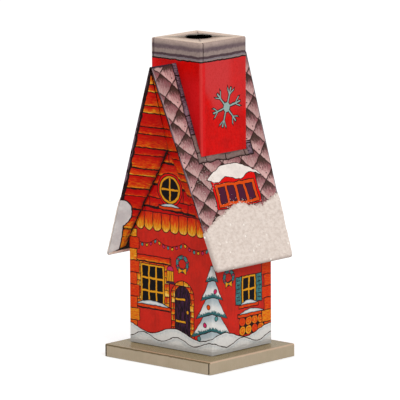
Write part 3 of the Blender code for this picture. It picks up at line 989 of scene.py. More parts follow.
def snowPaste():
    # Warm white paste: soft lumps, fine pores, a few glittering grains, darker where it thins at the top
    finish = Finish("snow_paste_granular", Specular_IOR_Level=0.3)
    place = finish.place()
    soft = speckle(vector("MULTIPLY", place, (1.0, 1.0, 1.6)), 520.0, 3.0, 0.55)
    pores = speckle(place, 1700.0, 3.0, 0.7)
    grain = place.make("TexVoronoi", None, {"Vector": place, "Scale": 480.0})
    lucky = grain.other(1).make("SeparateColor", None, {0: grain.other(1)})
    glint = ease(grain, 0.36, 0.14) * lucky.calc("GREATER_THAN", lucky, 0.89)
    body = mix(ease(soft * 0.75 + pores * 0.25, 0.32, 0.64), "D2C2B7", "E6D8CE")
    # the sheet's map holds the distances to the rounded edges and to the smooth upper line
    drawn = place.make("UVMap", {"uv_map": "sheet"})
    toEdge = drawn.make("SeparateXYZ", None, {0: drawn})
    toTop = toEdge.other(1)
    # painted shade on the rounded edges at the heavy rake and the eaves
    body = mix(ease(toEdge + (pores - 0.5) * 0.5, 1.7, 0.0) * 0.6, body, "97867F")
    thin = ease(toTop + (pores - 0.5) * 1.6 + (soft - 0.5) * 2.0, 1.6, 0.0)
    body = mix(thin * 0.7, body, "B8A197")
    finish.feed("Base Color", mix(glint, body, "FFF6EC"))
    finish.feed("Roughness", 0.9 - glint * 0.65)
    finish.bump(soft + pores * 0.3 + glint * 0.4, 0.9, 0.4)
    return finish.material


tin = bareTin("bare_tin", "C9C4BB", "9A968F")
# dark tin for the inner sides, and the tray's cut edges: painted shade
shadeTones = ("2A2220", "17110F")
shadeDarkTin = bareTin("dark_tin_painted_shade", *shadeTones)
roofLining = bareTin("dark_tin_painted_shade_lit_eaves", *shadeTones, roof["eavesHeight"] + 0.8)
print("materials ready")


# Sheet shells: a grid of outer points with its inner twin, walled along every open edge

def shellObject(name, outer, inner, materials, maps, slots=None, keep=None, wrap=False):
    rows, columns = outer.shape[:2]
    cells = columns if wrap else columns - 1
    count = rows * columns
    here = np.arange(count).reshape(rows, columns)
    there = np.roll(here, -1, axis=1)[:, :cells]
    here = here[:, :cells]
    quads = np.stack([here[:-1], there[:-1], there[1:], here[1:]], axis=-1)
    keep = np.ones(quads.shape[:2], bool) if keep is None else keep
    slots = np.zeros(quads.shape[:2], int) if slots is None else slots
    corner = [np.zeros((*quads.shape[:2], 2)) for _ in range(4)]
    for number, flat in enumerate(maps):
        chosen = (slots == number)[..., None]
        parts = (flat[:-1, :-1], flat[:-1, 1:], flat[1:, 1:], flat[1:, :-1])
        for index, part in enumerate(parts):
            corner[index] = np.where(chosen, part, corner[index])
    corner = np.stack(corner, axis=2)
    # the last material is for the cut edges, the one before it for the inner side
    lining, rim = max(0, len(materials) - 2), len(materials) - 1
    faces = [quads[keep], quads[keep][:, ::-1] + count]
    flats = [corner[keep], corner[keep][:, ::-1]]
    kinds = [slots[keep], np.full(keep.sum(), lining)]
    padded = np.pad(keep, 1)
    if wrap:
        padded[1:-1, 0] = keep[:, -1]
        padded[1:-1, -1] = keep[:, 0]
    nearby = (padded[:-2, 1:-1], padded[1:-1, 2:], padded[2:, 1:-1], padded[1:-1, :-2])
    for side, neighbour in enumerate(nearby):
        free = keep & ~neighbour
        after = (side + 1) % 4
        start, end = quads[..., side][free], quads[..., after][free]
        faces.append(np.stack([end, start, start + count, end + count], axis=-1))
        first, last = corner[:, :, side][free], corner[:, :, after][free]
        flats.append(np.stack([last, first, first, last], axis=1))
        kinds.append(np.full(free.sum(), rim))
    faces = np.concatenate(faces)
    used, packed = np.unique(faces, return_inverse=True)
    points = np.concatenate([outer.reshape(-1, 3), inner.reshape(-1, 3)])[used] * mm
    return meshObject(name, points, packed.reshape(-1, 4), materials, np.concatenate(kinds),
                      np.concatenate(flats).reshape(-1, 2))


def meshObject(name, points, faces, materials, kinds=None, flat=None, sharp=32.0):
    # Points in metres, faces by number; edges that bend by more than sharp degrees stay sharp
    mesh = bpy.data.meshes.new(name)
    mesh.from_pydata(points.tolist(), [], faces.tolist())
    for material in materials:
        mesh.materials.append(material)
    if kinds is not None:
        mesh.polygons.foreach_set("material_index", kinds.astype(np.int32))
    if flat is not None:
        mesh.uv_layers.new(name="sheet").data.foreach_set("uv", flat.astype(np.float32).ravel())
    mesh.shade_smooth()
    mesh.set_sharp_from_angle(angle=math.radians(sharp))
    mesh.update()
    item = bpy.data.objects.new(name, mesh)
    bpy.context.scene.collection.objects.link(item)
    return item


def stand(item, body, slot, *nodes):
    # The piece moves with a body and takes the place of its CAD nodes
    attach(item, body)
    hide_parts(*nodes)


def straight(length, spacing, shoulder):
    # Even steps along a run, with one short step at each end
    middle = np.linspace(shoulder, length - shoulder, max(2, int(length / spacing)))
    return np.concatenate(([0.0], middle, [length]))


def foldedPath(corners, radius, spacing, angles, shoulder=0.15):
    # Straight runs joined by round folds of one radius; gives points, outward normals and run so far
    corners = np.array(corners, float)
    ways = np.diff(corners, axis=0)
    lengths = np.hypot(ways[:, 0], ways[:, 1])
    ways = ways / lengths[:, None]
    outs = np.stack([ways[:, 1], -ways[:, 0]], axis=1)
    last = len(ways) - 1
    points, normals = [], []
    for run in range(len(ways)):
        trimStart = radius if run > 0 else 0.0
        trimEnd = radius if run < last else 0.0
        steps = trimStart + straight(lengths[run] - trimStart - trimEnd, spacing, shoulder)
        points.append(corners[run] + ways[run] * steps[:, None])
        normals.append(np.repeat(outs[run][None], len(steps), axis=0))
        if run < last:
            centre = corners[run + 1] - radius * (outs[run] + outs[run + 1])
            turn = np.radians(angles)[:, None]
            facing = outs[run] * np.cos(turn) + outs[run + 1] * np.sin(turn)
            points.append(centre + radius * facing)
            normals.append(facing)
    points = np.concatenate(points)
    normals = np.concatenate(normals)
    steps = np.hypot(*np.diff(points, axis=0).T)
    return points, normals, np.concatenate(([0.0], np.cumsum(steps)))


foldAngles = np.linspace(0.0, 90.0, 9)[1:-1]
gridStep = 1.2      # between the points along a folded sheet
closeBy = 0.01      # two places closer than this are taken as one


# Walls: height runs from the foot to the roof line, so the gables come to their slopes by themselves

def roofLine(across):
    # Height of the slopes' underside less the clearance, cut off at the gable's top
    drop = (house["sheet"] + house["gap"]) / math.cos(roof["pitch"])
    return np.minimum(roof["ridgeHeight"] - roof["rise"] * np.abs(across) - drop, house["gableTop"])


def risenWall(points, shares):
    # The plan's points carried up from the foot by shares of the height to the roof line
    top = roofLine(points[:, 0])
    height = house["foot"] + shares[:, None] * (top - house["foot"])
    flat = np.broadcast_to(points, (len(shares), *points.shape))
    return np.dstack([flat, height])


wallShares = np.concatenate(([0.0, 0.003], np.linspace(0.02, 0.99, 50), [1.0]))


def buildWallWrap():
    # Left side, front and right side as one sheet folded round both front corners
    halfWidth, halfDepth = house["halfWidth"], house["halfDepth"]
    corners = np.array(((-1, 1), (-1, -1), (1, -1), (1, 1))) * (halfWidth, halfDepth)
    points, normals, length = foldedPath(corners, house["cornerRadius"], gridStep, foldAngles)
    outer = risenWall(points, wallShares)
    inner = risenWall(points - normals * house["sheet"], wallShares)
    inner[..., 2] = np.minimum(inner[..., 2], outer[..., 2] + house["sheet"])
    flat = np.dstack([np.broadcast_to(length - length[-1] / 2, outer.shape[:2]), outer[..., 2]])
    middle = (length[:-1] + length[1:] - length[-1]) / 2
    corner = halfWidth - house["cornerRadius"] / 2
    wall = np.where(middle > corner, 1, np.where(middle < -corner, 2, 0))
    slots = np.broadcast_to(wall, (len(wallShares) - 1, len(wall)))
    prints = [frontPrint(), sidePrint("right_wall_print_lacquered", rightArt, house["sideU"]),
              sidePrint("left_wall_print_lacquered", leftArt, -house["sideU"]), tin, tin]
    item = shellObject("wall_wrap_sheet", outer, inner, prints, [flat, flat, flat], slots=slots)
    stand(item, "house", "wall_print", "wall_wrap")


backWall = {
    "lap": 4.0,
    "foldRadius": 0.6,
    "gridStep": 0.4,         # fine enough for round air holes
    "holes": (-12.0, 0.0, 12.0),  # their places across
    "holeRadius": 3.2,
    "holeHeight": 16.0,
    "pull": 0.3,             # how far from a hole's edge a point is still drawn onto it
}


def buildBackWall():
    # A gable lapped inside both side walls, with its air holes cut out of a fine grid
    face = house["halfDepth"]
    half = house["halfWidth"] - house["sheet"] - house["gap"]
    inFace = face - backWall["lap"]
    corners = ((half, inFace), (half, face), (-half, face), (-half, inFace))
    points, normals, _ = foldedPath(corners, backWall["foldRadius"], backWall["gridStep"], foldAngles)
    shares = np.concatenate(([0.0], np.linspace(0.004, 0.24, 80), np.linspace(0.26, 1.0, 20)))
    outer = risenWall(points, shares)
    inner = risenWall(points - normals * house["sheet"], shares)
    inner[..., 2] = outer[..., 2]
    middle = (outer[:-1, :-1] + outer[1:, 1:]) / 2
    keep = np.ones(middle.shape[:2], bool)
    radius, height = backWall["holeRadius"], backWall["holeHeight"]
    for across in backWall["holes"]:
        away = np.hypot(middle[..., 0] - across, middle[..., 2] - height)
        keep &= (away >= radius) | (middle[..., 1] < face - closeBy)
        # points near the hole's edge are drawn onto its circle
        offX = outer[..., 0] - across
        offZ = outer[..., 2] - height
        reach = np.hypot(offX, offZ)
        near = (np.abs(reach - radius) < backWall["pull"]) & (outer[..., 1] > face - closeBy)
        pull = radius / np.maximum(reach, radius / 2)
        for layer in (outer, inner):
            layer[..., 0] = np.where(near, across + offX * pull, layer[..., 0])
            layer[..., 2] = np.where(near, height + offZ * pull, layer[..., 2])
    flat = np.dstack([outer[..., 0] * -1, outer[..., 2]])
    item = shellObject("back_wall_sheet", outer, inner, [backPrint(), tin, tin], [flat], keep=keep)
    stand(item, "house", "wall_print", "back_wall")


buildWallWrap()
buildBackWall()
print("walls built")


# Roof sheets: each row crosses a soffit, its fold, the slope, the other fold and the other soffit

def unit(vectors):
    return vectors / np.linalg.norm(vectors, axis=-1, keepdims=True)


roofGrid = {
    # shares of each run of a crossing: over the soffit, the slope to the opening, half the opening
    "soffit": (0.0, 0.03, 0.2, 0.4, 0.6, 0.8, 0.97),
    "foldPoints": 8,
    "slope": (0.015, 0.1, 0.3, 0.5, 0.7, 0.9, 1.0),
    "opening": (0.8, 0.6, 0.4, 0.2, 0.0),
    "rows": (30, 26),        # below and beside the opening
}


def roofRow(share, side, stretch):
    # Half of the crossing at each share of the way up: free edge to the middle of the slope
    corners = ("soffitFoot", "soffitMeeting", "eavesCorner", "ridgeEnd")
    foot, meeting, eaves, ridge = (roof[key] * (side, 1.0, 1.0) for key in corners)
    share = share[:, None]
    free = foot + (meeting - foot) * share
    rake = eaves + (ridge - eaves) * share
    inwards = np.array((0.0, -1.0, 0.0))
    radius = roof["foldRadius"]
    # the sharp corner stands beyond the rake, so that the round fold just reaches it
    opening = np.arccos(unit(free - rake) @ inwards)[:, None]
    rake = rake - inwards * (radius * (1 / np.tan(opening / 2) - 1) + stretch)
    flange = unit(free - rake)
    opening = np.arccos(flange @ inwards)[:, None]
    bisector = unit(flange + inwards)
    centre = rake + bisector * radius / np.sin(opening / 2)
    tangent = radius / np.tan(opening / 2)
    startArc = rake + flange * tangent - centre
    endArc = rake + inwards * tangent - centre
    sweep = math.pi - opening
    columns = [free + (rake + flange * tangent - free) * part for part in roofGrid["soffit"]]
    for part in np.linspace(0.0, 1.0, roofGrid["foldPoints"]):
        columns.append(centre + (np.sin((1 - part) * sweep) * startArc
                                 + np.sin(part * sweep) * endArc) / np.sin(sweep))
    foldEnd = columns[-1]
    cutEdge = foldEnd.copy()
    cutEdge[:, 1] = roof["cutHalf"]
    columns += [foldEnd + (cutEdge - foldEnd) * part for part in roofGrid["slope"]]
    columns += [cutEdge * (1.0, part, 1.0) for part in roofGrid["opening"]]
    return np.stack(columns, axis=1)


def outwardNormals(grid):
    # Square to both directions of the grid
    return unit(np.cross(np.gradient(grid, axis=1), np.gradient(grid, axis=0)))


def buildRoofSheet(side, name, node):
    # Crossings from eaves to ridge, made thick inwards, with the chimney's opening left out
    cutShare = 1 - roof["cutHalf"] / roof["eavesReach"]
    topShare = 1 - roof["ridgeGap"] / 2 / roof["eavesReach"]
    rowsBelow, rowsBeside = roofGrid["rows"]
    lower = np.concatenate(([0.0, 0.002], np.linspace(0.02, cutShare, rowsBelow)))
    share = np.concatenate((lower, np.linspace(cutShare, topShare, rowsBeside)[1:]))
    back = roofRow(share, side, 0.0)
    front = roofRow(share, side, roof["leftFrontStretch"] if side < 0 else 0.0)
    outer = np.concatenate([back, front[:, -2::-1] * np.array((1.0, -1.0, 1.0))], axis=1)
    if side > 0:
        outer = outer[:, ::-1]
    inner = outer - outwardNormals(outer) * house["sheet"]
    inner[..., 0] = side * np.maximum(side * inner[..., 0], roof["ridgeGap"] / 2)
    rows, columns = outer.shape[:2]
    flangeColumns = len(roofGrid["soffit"]) + roofGrid["foldPoints"] - 1
    middle = np.arange(columns - 1)
    sides = (middle < flangeColumns) | (middle >= columns - 1 - flangeColumns)
    slots = np.broadcast_to(sides.astype(int), (rows - 1, columns - 1))
    keep = np.ones((rows - 1, columns - 1), bool)
    cut = np.abs(outer[0, :-1, 1] + outer[0, 1:, 1]) / 2 < roof["cutHalf"] - closeBy
    edgeRow = len(lower) - 1
    keep[edgeRow:, cut & ~sides] = False
    # the opening's lower edge stands clear of the chimney inside as well
    onFace = np.concatenate((~sides, [False]))
    edge = onFace & (np.abs(outer[edgeRow, :, 1]) < roof["cutHalf"] + closeBy)
    inner[edgeRow, edge, 0] = side * np.maximum(side * inner[edgeRow, edge, 0], chimneyHigh[0] + 0.04)
    slopeUp = np.broadcast_to(share[:, None] * roof["length"], (rows, columns))
    slopeMap = np.dstack([outer[..., 1] * side * -1, slopeUp])
    soffitMap = soffitPlace(outer, outer[..., 1] * side < 0)
    item = shellObject(name, outer, inner, [slateFinish, soffitFinish, roofLining, tin],
                       [slopeMap, soffitMap], slots=slots, keep=keep)
    stand(item, "house", "roof_print", node)


slateFinish = slatePrint()
soffitFinish = soffitPrint()
buildRoofSheet(-1, "left_roof_folded", "left_roof_sheet")
buildRoofSheet(1, "right_roof_folded", "right_roof_sheet")
print("roof built")


# Folded boxes: the chimney with its four flaps, and the tray

def foldedBox(low, high, plan, lowerEdge, wallRows):
    # Sides rise from the lower edge, turn over a round fold and run in to the hole's circle
    top, sheet = high[2], house["sheet"]
    cornerRadius, foldRadius = plan["cornerRadius"], plan["foldRadius"]
    slitHalf, holeRadius = plan["slitHalf"], plan["holeRadius"]
    centre = (low + high)[:2] / 2
    half = (high - low)[:2] / 2
    corners = np.array(((0, -1), (1, -1), (1, 1), (-1, 1), (-1, -1), (0, -1))) * half
    slit = math.degrees(slitHalf / cornerRadius)
    before = np.linspace(0.0, 45.0 - slit, 5)[1:]
    angles = np.concatenate((before, 90.0 - before[::-1]))
    points, normals, length = foldedPath(corners, cornerRadius, gridStep, angles, plan["shoulder"])
    points, normals = points[:-1], normals[:-1]

    def drawnIn(inset):
        # The rounded outline made smaller all round, its corners never quite sharp
        left = max(cornerRadius - inset, cornerRadius / 5)
        core = half - inset - left
        return np.clip(points, -core, core) + normals * left + centre

    outer, inner, flat = [], [], []
    level = np.ones(len(points))

    def addRow(place, innerPlace, height, depth, printed):
        # One ring outside, its twin so much deeper inside, and its height on the print
        outer.append(np.column_stack([place, height * level]))
        inner.append(np.column_stack([innerPlace, (height - depth) * level]))
        flat.append(printed * level)

    start = lowerEdge(points[:, 0])
    finish = top - foldRadius
    shares = np.concatenate(([0.0, 0.01], np.linspace(0.03, 0.97, wallRows), [0.99, 1.0]))
    for share in shares:
        height = start + (finish - start) * share
        addRow(drawnIn(0.0), drawnIn(sheet), height, 0.0, height)
    turns = np.radians(np.linspace(0.0, 90.0, 7)[1:])
    for angle in turns:
        inset = foldRadius * (1 - math.cos(angle))
        height = finish + foldRadius * math.sin(angle)
        addRow(drawnIn(inset), drawnIn(inset + sheet * math.cos(angle)), height,
               sheet * math.sin(angle), finish + foldRadius * angle)
    # each point of the rim runs in to its own bearing on the hole; beside a slit it keeps its distance
    rim = drawnIn(foldRadius)
    bearing = np.arctan2(rim[:, 1], rim[:, 0])
    corner = np.arctan2(np.sign(rim[:, 1]), np.sign(rim[:, 0]))
    sideways, forwards = np.abs(normals).T
    besideSlit = np.abs(sideways - forwards) < 1.6 * math.sin(math.radians(slit))
    lean = math.asin(min(1.0, slitHalf / holeRadius))
    turned = np.sign(forwards - sideways) * np.sign(rim[:, 0] * rim[:, 1])
    bearing = np.where(besideSlit, corner + turned * lean, bearing)
    mouth = holeRadius * np.column_stack([np.cos(bearing), np.sin(bearing)])
    facing = np.where(sideways > forwards, np.where(normals[:, 0] > 0, 1, 3),
                      np.where(normals[:, 1] > 0, 2, 0))
    dip = np.array(plan["dips"])[facing]
    for share in (0.02, 0.12, 0.3, 0.5, 0.7, 0.85, 0.95, 1.0):
        place = rim + (mouth - rim) * share
        printed = top + flapMap["start"] + flapMap["length"] * share
        addRow(place, place, top - dip * share ** 1.5, sheet, printed)
    flat = np.stack(flat)
    sheetMap = np.dstack([np.broadcast_to(length, (len(flat), len(length))),
                          np.concatenate([flat, flat[:, :1]], axis=1)])
    strips = besideSlit & np.roll(besideSlit, -1)
    return np.stack(outer), np.stack(inner), sheetMap, strips, len(shares), len(turns)


chimney = {
    "cornerRadius": 0.6,
    "foldRadius": 0.9,
    "holeRadius": 5.8,
    "slitHalf": 0.13,
    "shoulder": 0.15,
    "reach": 4.0,            # how far the sides go down through the roof
    # how far each flap sinks towards the hole: front, right, back, left
    "dips": (0.3, 0.25, -0.4, -0.3),
}


def chimneyFoot(across):
    # The sides end a little way inside the roof, cut to its slopes
    return roof["ridgeHeight"] - chimney["reach"] - roof["rise"] * np.abs(across)


def buildChimney():
    # Four sides in one wrap, four flaps with mitre slits between them
    top = chimneyHigh[2]
    outer, inner, flat, strips, wallRows, foldRows = foldedBox(chimneyLow, chimneyHigh, chimney,
                                                               chimneyFoot, 40)
    keep = np.ones((outer.shape[0] - 1, outer.shape[1]), bool)
    keep[wallRows + foldRows:, strips] = False
    slots = np.zeros(keep.shape, int)
    slots[wallRows + foldRows // 2:] = 1  # the flaps' print begins half way over the fold
    # one side of the wrapped print, from the middle of one fold to the middle of the next
    quarter = chimneyHigh[0] - chimneyLow[0] - (2 - math.pi / 2) * chimney["cornerRadius"]
    prints = [chimneyPrint(top, quarter), flapPrint(top, quarter), shadeDarkTin, tin]
    item = shellObject("chimney_folded", outer, inner, prints, [flat, flat], slots=slots, keep=keep,
                       wrap=True)
    stand(item, "house", "chimney_print", "chimney_sheet")


tray = {
    "cornerRadius": 0.6,
    "foldRadius": 0.7,
    "holeRadius": 1.5,       # for the rivet
    "slitHalf": 0.05,
    "shoulder": 0.5,         # width of the skirt seams beside the corners
    "dips": (0.0, 0.0, 0.0, 0.0),
    "paleMiddle": 91.5,      # along the wrapped skirt: the middle of the right and back sides together, whose folds get the painted highlight
    "paleReach": 59.8,
    "faintEnds": ((96.0, 90.0), (132.0, 140.0)),  # where the other folds' faint line fades out
}


def buildTray():
    # Skirt and top in one wrap, with an open seam in the skirt beside each corner
    outer, inner, flat, _, wallRows, _ = foldedBox(trayLow, trayHigh, tray, np.zeros_like, 6)
    middle = (outer[0] + np.roll(outer[0], -1, axis=0)) / 2
    onFace = np.minimum(middle[:, 1] - trayLow[1], trayHigh[1] - middle[:, 1]) < closeBy
    inset = np.minimum(middle[:, 0] - trayLow[0], trayHigh[0] - middle[:, 0])
    keep = np.ones((outer.shape[0] - 1, outer.shape[1]), bool)
    keep[:wallRows - 1, onFace & (inset < tray["cornerRadius"] + tray["shoulder"])] = False
    item = shellObject("base_tray_folded", outer, inner, [trayLacquer(), shadeDarkTin, shadeDarkTin], [flat],
                       keep=keep, wrap=True)
    stand(item, "base", "tray_lacquer", "base_tray")


buildChimney()
buildTray()
print("chimney and tray built")


# Dish and rivet, turned

def turnedObject(name, profile, steps, material):
    # A closed profile of (radius, height) points carried round the upright axis
    profile = np.array(profile, float)
    angle = np.linspace(0, 2 * math.pi, steps, endpoint=False)
    radius, height = profile.T
    points = np.stack([np.cos(angle)[:, None] * radius, np.sin(angle)[:, None] * radius,
                       np.broadcast_to(height, (steps, len(height)))], axis=-1)
    index = np.arange(steps * len(profile)).reshape(steps, -1)
    over = np.roll(index, -1, axis=0)
    faces = np.stack([index, over, np.roll(over, -1, axis=1), np.roll(index, -1, axis=1)], axis=-1)
    return meshObject(name, points.reshape(-1, 3) * mm, faces.reshape(-1, 4), [material])


dish = {
    "floor": 9.0,            # radius
    "hole": 1.5,
    "side": 0.35,            # thickness of the side, measured across
    "shank": 1.2,            # radius of the rivet between its heads
    "head": 0.7,             # height of each head
    "bore": 0.36,            # radius of the hollow through the rivet
}


def roundedDish(low, high):
    # Floor, a swept side and a rolled rim; the outside first, then back along the inside
    sheet, floor, hole = house["sheet"], dish["floor"], dish["hole"]
    rimRadius = high[0] - 2 * sheet
    outerSide = [(floor + (rimRadius - floor) * part, low[2] + (high[2] - low[2] - sheet) * part ** 1.6)
                 for part in np.linspace(0, 1, 12)]
    roll = [(rimRadius + sheet + sheet * math.cos(a), high[2] - sheet + sheet * math.sin(a))
            for a in np.radians(np.linspace(-90, 90, 9))]
    innerSide = [(radius - dish["side"], height + sheet) for radius, height in reversed(outerSide)]
    return [(hole, low[2])] + outerSide + roll + innerSide + [(hole, low[2] + sheet)]


def domedRivet(low, high):
    # A hollow rivet: a flat tail below, a shank and a domed head
    tail, top, headRadius = low[2], high[2], high[0]
    head, shank, bore = dish["head"], dish["shank"], dish["bore"]
    dome = [(headRadius * math.cos(a), top - head + head * math.sin(a))
            for a in np.radians(np.linspace(0, 80, 10))]
    return [(bore, tail), (headRadius, tail), (headRadius, tail + head), (shank, tail + head),
            (shank, top - head)] + dome + [(bore, top)]


def buildDish():
    pressed = turnedObject("cone_dish_pressed", roundedDish(*cadSize("cone_dish")), 96, tin)
    stand(pressed, "base", "bright_tin", "cone_dish")
    rivet = turnedObject("dish_rivet_domed", domedRivet(*cadSize("dish_rivet")), 48, tin)
    stand(rivet, "base", "bright_tin", "dish_rivet")


buildDish()
print("dish built")


# Snow paste on the lower slopes: thick, rolled over at the rakes and eaves, thin and ragged on top

snow = {
    "thickness": 1.0,
    # at the heavy rake, then at the other one: right front and left back are heavy
    "overhang": (0.42, 0.12),  # how far the paste stands over the sheet's edges
    "roll": (1.3, 0.5),      # width over which an edge rounds off
    "corner": (2.0, 0.7),    # rounding of the two lower corners
    "drop": (1.2, 0.4),      # how far it hangs below the sheet's face, by the sheet's thickness
    "fade": 3.6,             # how far below its upper line the coat is at its full height
    "open": 0.9,             # how far below it there are still gaps in the coat
    "drift": 29.5,
    "line": ((-1.0, 0.60), (-0.66, 0.75), (-0.23, 0.90), (-0.03, 0.96), (0.14, 0.95), (0.24, 0.89),
             (0.56, 0.86), (0.77, 0.93), (1.0, 1.0)),
    "cells": (210, 130),
    "closeAcross": (1.6, 10),  # closer rows at each edge: within which width, how many
    "closeUp": (0.07, 12),   # the same at the foot, within a share of the climb
    "crumbs": 260,
    "crumbSize": (0.08, 0.22),
    "crumbEdges": (9.0, 1.9),  # distances to the coat's edges that their shading goes by
    # the patch of crumbs near the heavy rake: its share of them, then place and spread across and up
    "patch": (0.42, -0.60, 0.14, 40.5, 3.0),
}
noEdge = 9.0   # a distance to an edge at which the paste isn't shaded


def lumps(size, cells, seed):
    # Random heights on a coarse grid, eased up to the fine one
    rng = np.random.default_rng(seed)
    coarse = rng.random((cells[0] + 1, cells[1] + 1))
    overU = np.linspace(0, cells[0], size[0])
    overV = np.linspace(0, cells[1], size[1])
    wide = np.stack([np.interp(overV, np.arange(cells[1] + 1), line) for line in coarse])
    return np.stack([np.interp(overU, np.arange(cells[0] + 1), line) for line in wide.T], axis=1)


def onSlope(side, alongY, up, lift):
    # A place along the eaves, up the slope and off its face
    pitch = roof["pitch"]
    x = roof["eavesReach"] - up * math.cos(pitch) + lift * math.sin(pitch)
    z = roof["eavesHeight"] + up * math.sin(pitch) + lift * math.cos(pitch)
    return np.stack([side * x, side * alongY, z], axis=-1)


def rolled(distance, width):
    # A quarter circle: 0 at the edge, 1 from its width inwards
    rest = 1 - np.clip(distance / width, 0, 1)
    return np.sqrt(1 - rest * rest)


def halfAt(up):
    # Half the slope's length at a height up it
    return roof["eavesHalfLength"] + roof["lean"] * up


def snowTop(share):
    # The coat's drawn upper line
    places, heights = np.array(snow["line"]).T
    return np.interp(share, places, heights) * snow["drift"]


def snowRagged(share, seed):
    # What that line wavers by, in coarse and fine steps
    count = 400
    coarse, fine = (lumps((count, 2), (cells, 1), seed + index)[:, 0] - 0.5
                    for index, cells in enumerate((42, 150)))
    return np.interp(share, np.linspace(-1, 1, count), coarse * 0.8 + fine * 0.3)


def thickened(count, width, reach, closeness):
    # Places from 0 to reach, drawn together within width of the start
    near = np.linspace(0, width, closeness, endpoint=False)
    return np.concatenate((near, np.linspace(width, reach, count - closeness)))


def crumbMesh(places, sizes, rng):
    # Small eight-faced crumbs, each turned and squashed at random
    tips = np.array(((1, 0, 0), (-1, 0, 0), (0, 1, 0), (0, -1, 0), (0, 0, 1), (0, 0, -1)), float)
    corners = np.array(((0, 2, 4), (2, 1, 4), (1, 3, 4), (3, 0, 4), (2, 0, 5), (1, 2, 5), (3, 1, 5),
                        (0, 3, 5)))
    stretch = rng.uniform(0.6, 1.3, (len(places), 1, 3))
    turn = np.linalg.qr(rng.normal(size=(len(places), 3, 3)))[0]
    turn *= np.linalg.det(turn)[:, None, None]
    points = (tips * stretch * sizes[:, None, None]) @ turn + places[:, None]
    faces = corners + 6 * np.arange(len(places))[:, None, None]
    return points.reshape(-1, 3), faces.reshape(-1, 3)


def buildSnow(side, name, node, seed):
    # A grid from rake to rake and from the eaves to the upper line, lifted off the slope by its lumps
    across, climb = snow["cells"]
    # how far each rake stands beyond the drawn one: the heavy rake first, then the thin one
    stretch = np.array((0.0, roof["leftFrontStretch"] if side < 0 else 0.0))
    reach = roof["eavesHalfLength"] + stretch + snow["overhang"]
    width, rows = snow["closeAcross"]
    heavy = -reach[0] + thickened(across // 2, width, reach[0], rows)
    thin = reach[1] - thickened(across // 2, width, reach[1], rows)
    place = np.concatenate((heavy, thin[-2::-1]))
    end = (place > 0).astype(int)
    perEnd = ("overhang", "roll", "corner", "drop")
    overhang, roll, radius, drop = (np.array(snow[key])[end] for key in perEnd)
    half = reach[end]
    share = place / half
    beyond = np.clip(np.abs(place) - (half - radius), 0, radius)
    low = -snow["overhang"][0] + radius - np.sqrt(radius ** 2 - beyond ** 2)
    high = snowTop(share) + snowRagged(share, seed)
    width, rows = snow["closeUp"]
    steps = thickened(climb, width, 1.0, rows)
    up = low[None] + steps[:, None] * (high - low)[None]
    alongY = share[None] * (halfAt(up) + stretch[end] + overhang)
    toRake = (1 - np.abs(share)) * half + up * 0.0
    toEaves = up - low[None]
    toTop = high[None] - up
    size = up.shape
    lumpy = lumps(size, (12, 20), seed + 2) * 0.5 + lumps(size, (30, 50), seed + 3) * 0.42
    fine = lumps(size, (100, 160), seed + 4)
    full = snow["thickness"] * (0.56 + lumpy * 0.62) + fine * 0.09
    edge = np.minimum(rolled(toRake, roll), rolled(toEaves, snow["roll"][0] * 1.1))
    fade = 0.06 + 0.94 * np.clip(toTop / snow["fade"], 0, 1) ** 0.8
    drop = house["sheet"] * drop
    outer = onSlope(side, alongY, up, (full * fade + drop) * edge - drop)
    onSheet = (toRake > overhang) & (up > 0)
    inner = onSlope(side, alongY, up, np.where(onSheet, 0.02, -drop))
    # distances for the paste's shading: to the heavy rake or the eaves, and to the smooth upper line
    toHeavy = np.minimum(np.where(end > 0, noEdge, toRake), toEaves)
    edges = np.dstack([toHeavy, snowTop(share)[None] - up])
    if side < 0:
        outer, inner, edges, toTop = (grid[:, ::-1] for grid in (outer, inner, edges, toTop))
    middle = (toTop[:-1, :-1] + toTop[1:, 1:]) / 2
    pores = lumps(middle.shape, (46, 84), seed + 5)
    keep = ~((middle < snow["open"]) & (pores > 0.5 + 0.5 * np.clip(middle, 0, snow["open"])))
    coat = shellObject(name, outer, inner, [snowFinish], [edges], keep=keep)
    stand(coat, "house", "snow_paste", node)
    strayCrumbs(side, name + "_crumbs", seed)


def strayCrumbs(side, name, seed):
    # Crumbs scattered just above the coat's upper line, some of them in a patch further up
    rng = np.random.default_rng(seed + 6)
    count, end = snow["crumbs"], 0.97
    share = rng.uniform(-end, end, count)
    up = snowTop(share) + snowRagged(share, seed) + np.abs(rng.normal(0, 1.8, count)) - 0.2
    part, midShare, shareSpread, midUp, upSpread = snow["patch"]
    patch = rng.random(count) < part
    share = np.where(patch, np.clip(rng.normal(midShare, shareSpread, count), -end, end), share)
    up = np.where(patch, rng.normal(midUp, upSpread, count), up)
    sizes = rng.uniform(*snow["crumbSize"], count)
    points, faces = crumbMesh(onSlope(side, share * halfAt(up), up, sizes * 0.5), sizes, rng)
    flat = np.broadcast_to(snow["crumbEdges"], (faces.size, 2))
    crumbs = meshObject(name, points * mm, faces, [snowFinish], flat=flat)
    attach(crumbs, "house")


snowFinish = snowPaste()
buildSnow(1, "snow_coat_right", "snow_right", 11)
buildSnow(-1, "snow_coat_left", "snow_left", 71)
print("snow laid")


# CAD pieces that keep their shape get their finish here

def dressNode(name, material):
    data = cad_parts[name].data
    data.materials.clear()
    data.materials.append(material)


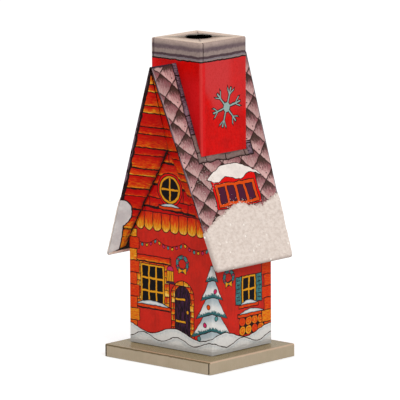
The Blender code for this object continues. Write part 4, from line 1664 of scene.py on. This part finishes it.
dressNode("base_board", fibreBoard())
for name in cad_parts:
    if name.startswith(("locating_clip", "ridge_strip", "roof_bracket", "chimney_clip")):
        dressNode(name, tin)


# Studio: a white floor, a broad light from the right, a weak one from the front left, the rest all round

studio = {
    "ambient": 0.72,
    "floorColour": tone("EDEDED"),
    "floorWhite": 0.42,      # what the camera sees on top of the lit floor
    "floorHalf": 6.0,        # half width in metres
    "floorDrop": 0.0002,
    "aim": (0.0, 0.0, 0.07),
    "lights": (
        # name, place in metres, size in metres, watts
        ("broad_right", (1.5, -0.55, 1.05), 0.9, 11.5),
        ("front_left", (-0.7, -1.6, 0.9), 0.8, 3.0),
    ),
}


def addLight(name, place, size, watts):
    data = bpy.data.lights.new(name, "AREA")
    data.shape = "DISK"
    data.size = size
    data.energy = watts
    light = bpy.data.objects.new(name, data)
    bpy.context.scene.collection.objects.link(light)
    light.location = place
    aim = Vector(studio["aim"]) - Vector(place)
    light.rotation_euler = aim.to_track_quat("-Z", "Y").to_euler()


def seenRay(tree):
    # 1 for rays that reach the camera straight, by a mirror or through glass
    rays = Wire(tree).make("LightPath")
    return most(rays, most(rays.other("Is Glossy Ray"), rays.other("Is Transmission Ray")))


def buildStudio():
    for light in studio["lights"]:
        addLight(*light)
    finish = Finish("floor_white", Roughness=0.95, Base_Color=studio["floorColour"],
                    Emission_Strength=studio["floorWhite"], Specular_IOR_Level=0.0)
    finish.feed("Emission Color", mix(seenRay(finish.tree), "000000", "FFFFFF"))
    half = studio["floorHalf"]
    corners = np.array(((-1, -1, 0), (1, -1, 0), (1, 1, 0), (-1, 1, 0))) * half
    corners[:, 2] = -studio["floorDrop"]
    meshObject("floor", corners, np.array([[0, 1, 2, 3]]), [finish.material])
    world = bpy.data.worlds.new("white_studio")
    bpy.context.scene.world = world
    world.use_nodes = True
    tree = world.node_tree
    background = tree.nodes["Background"]
    background.inputs[0].default_value = (1.0, 1.0, 1.0, 1.0)
    strength = studio["ambient"] + seenRay(tree) * (1 - studio["ambient"])
    tree.links.new(strength.socket, background.inputs[1])
    bpy.context.scene.view_settings.view_transform = "Standard"


buildStudio()
print("studio lit")
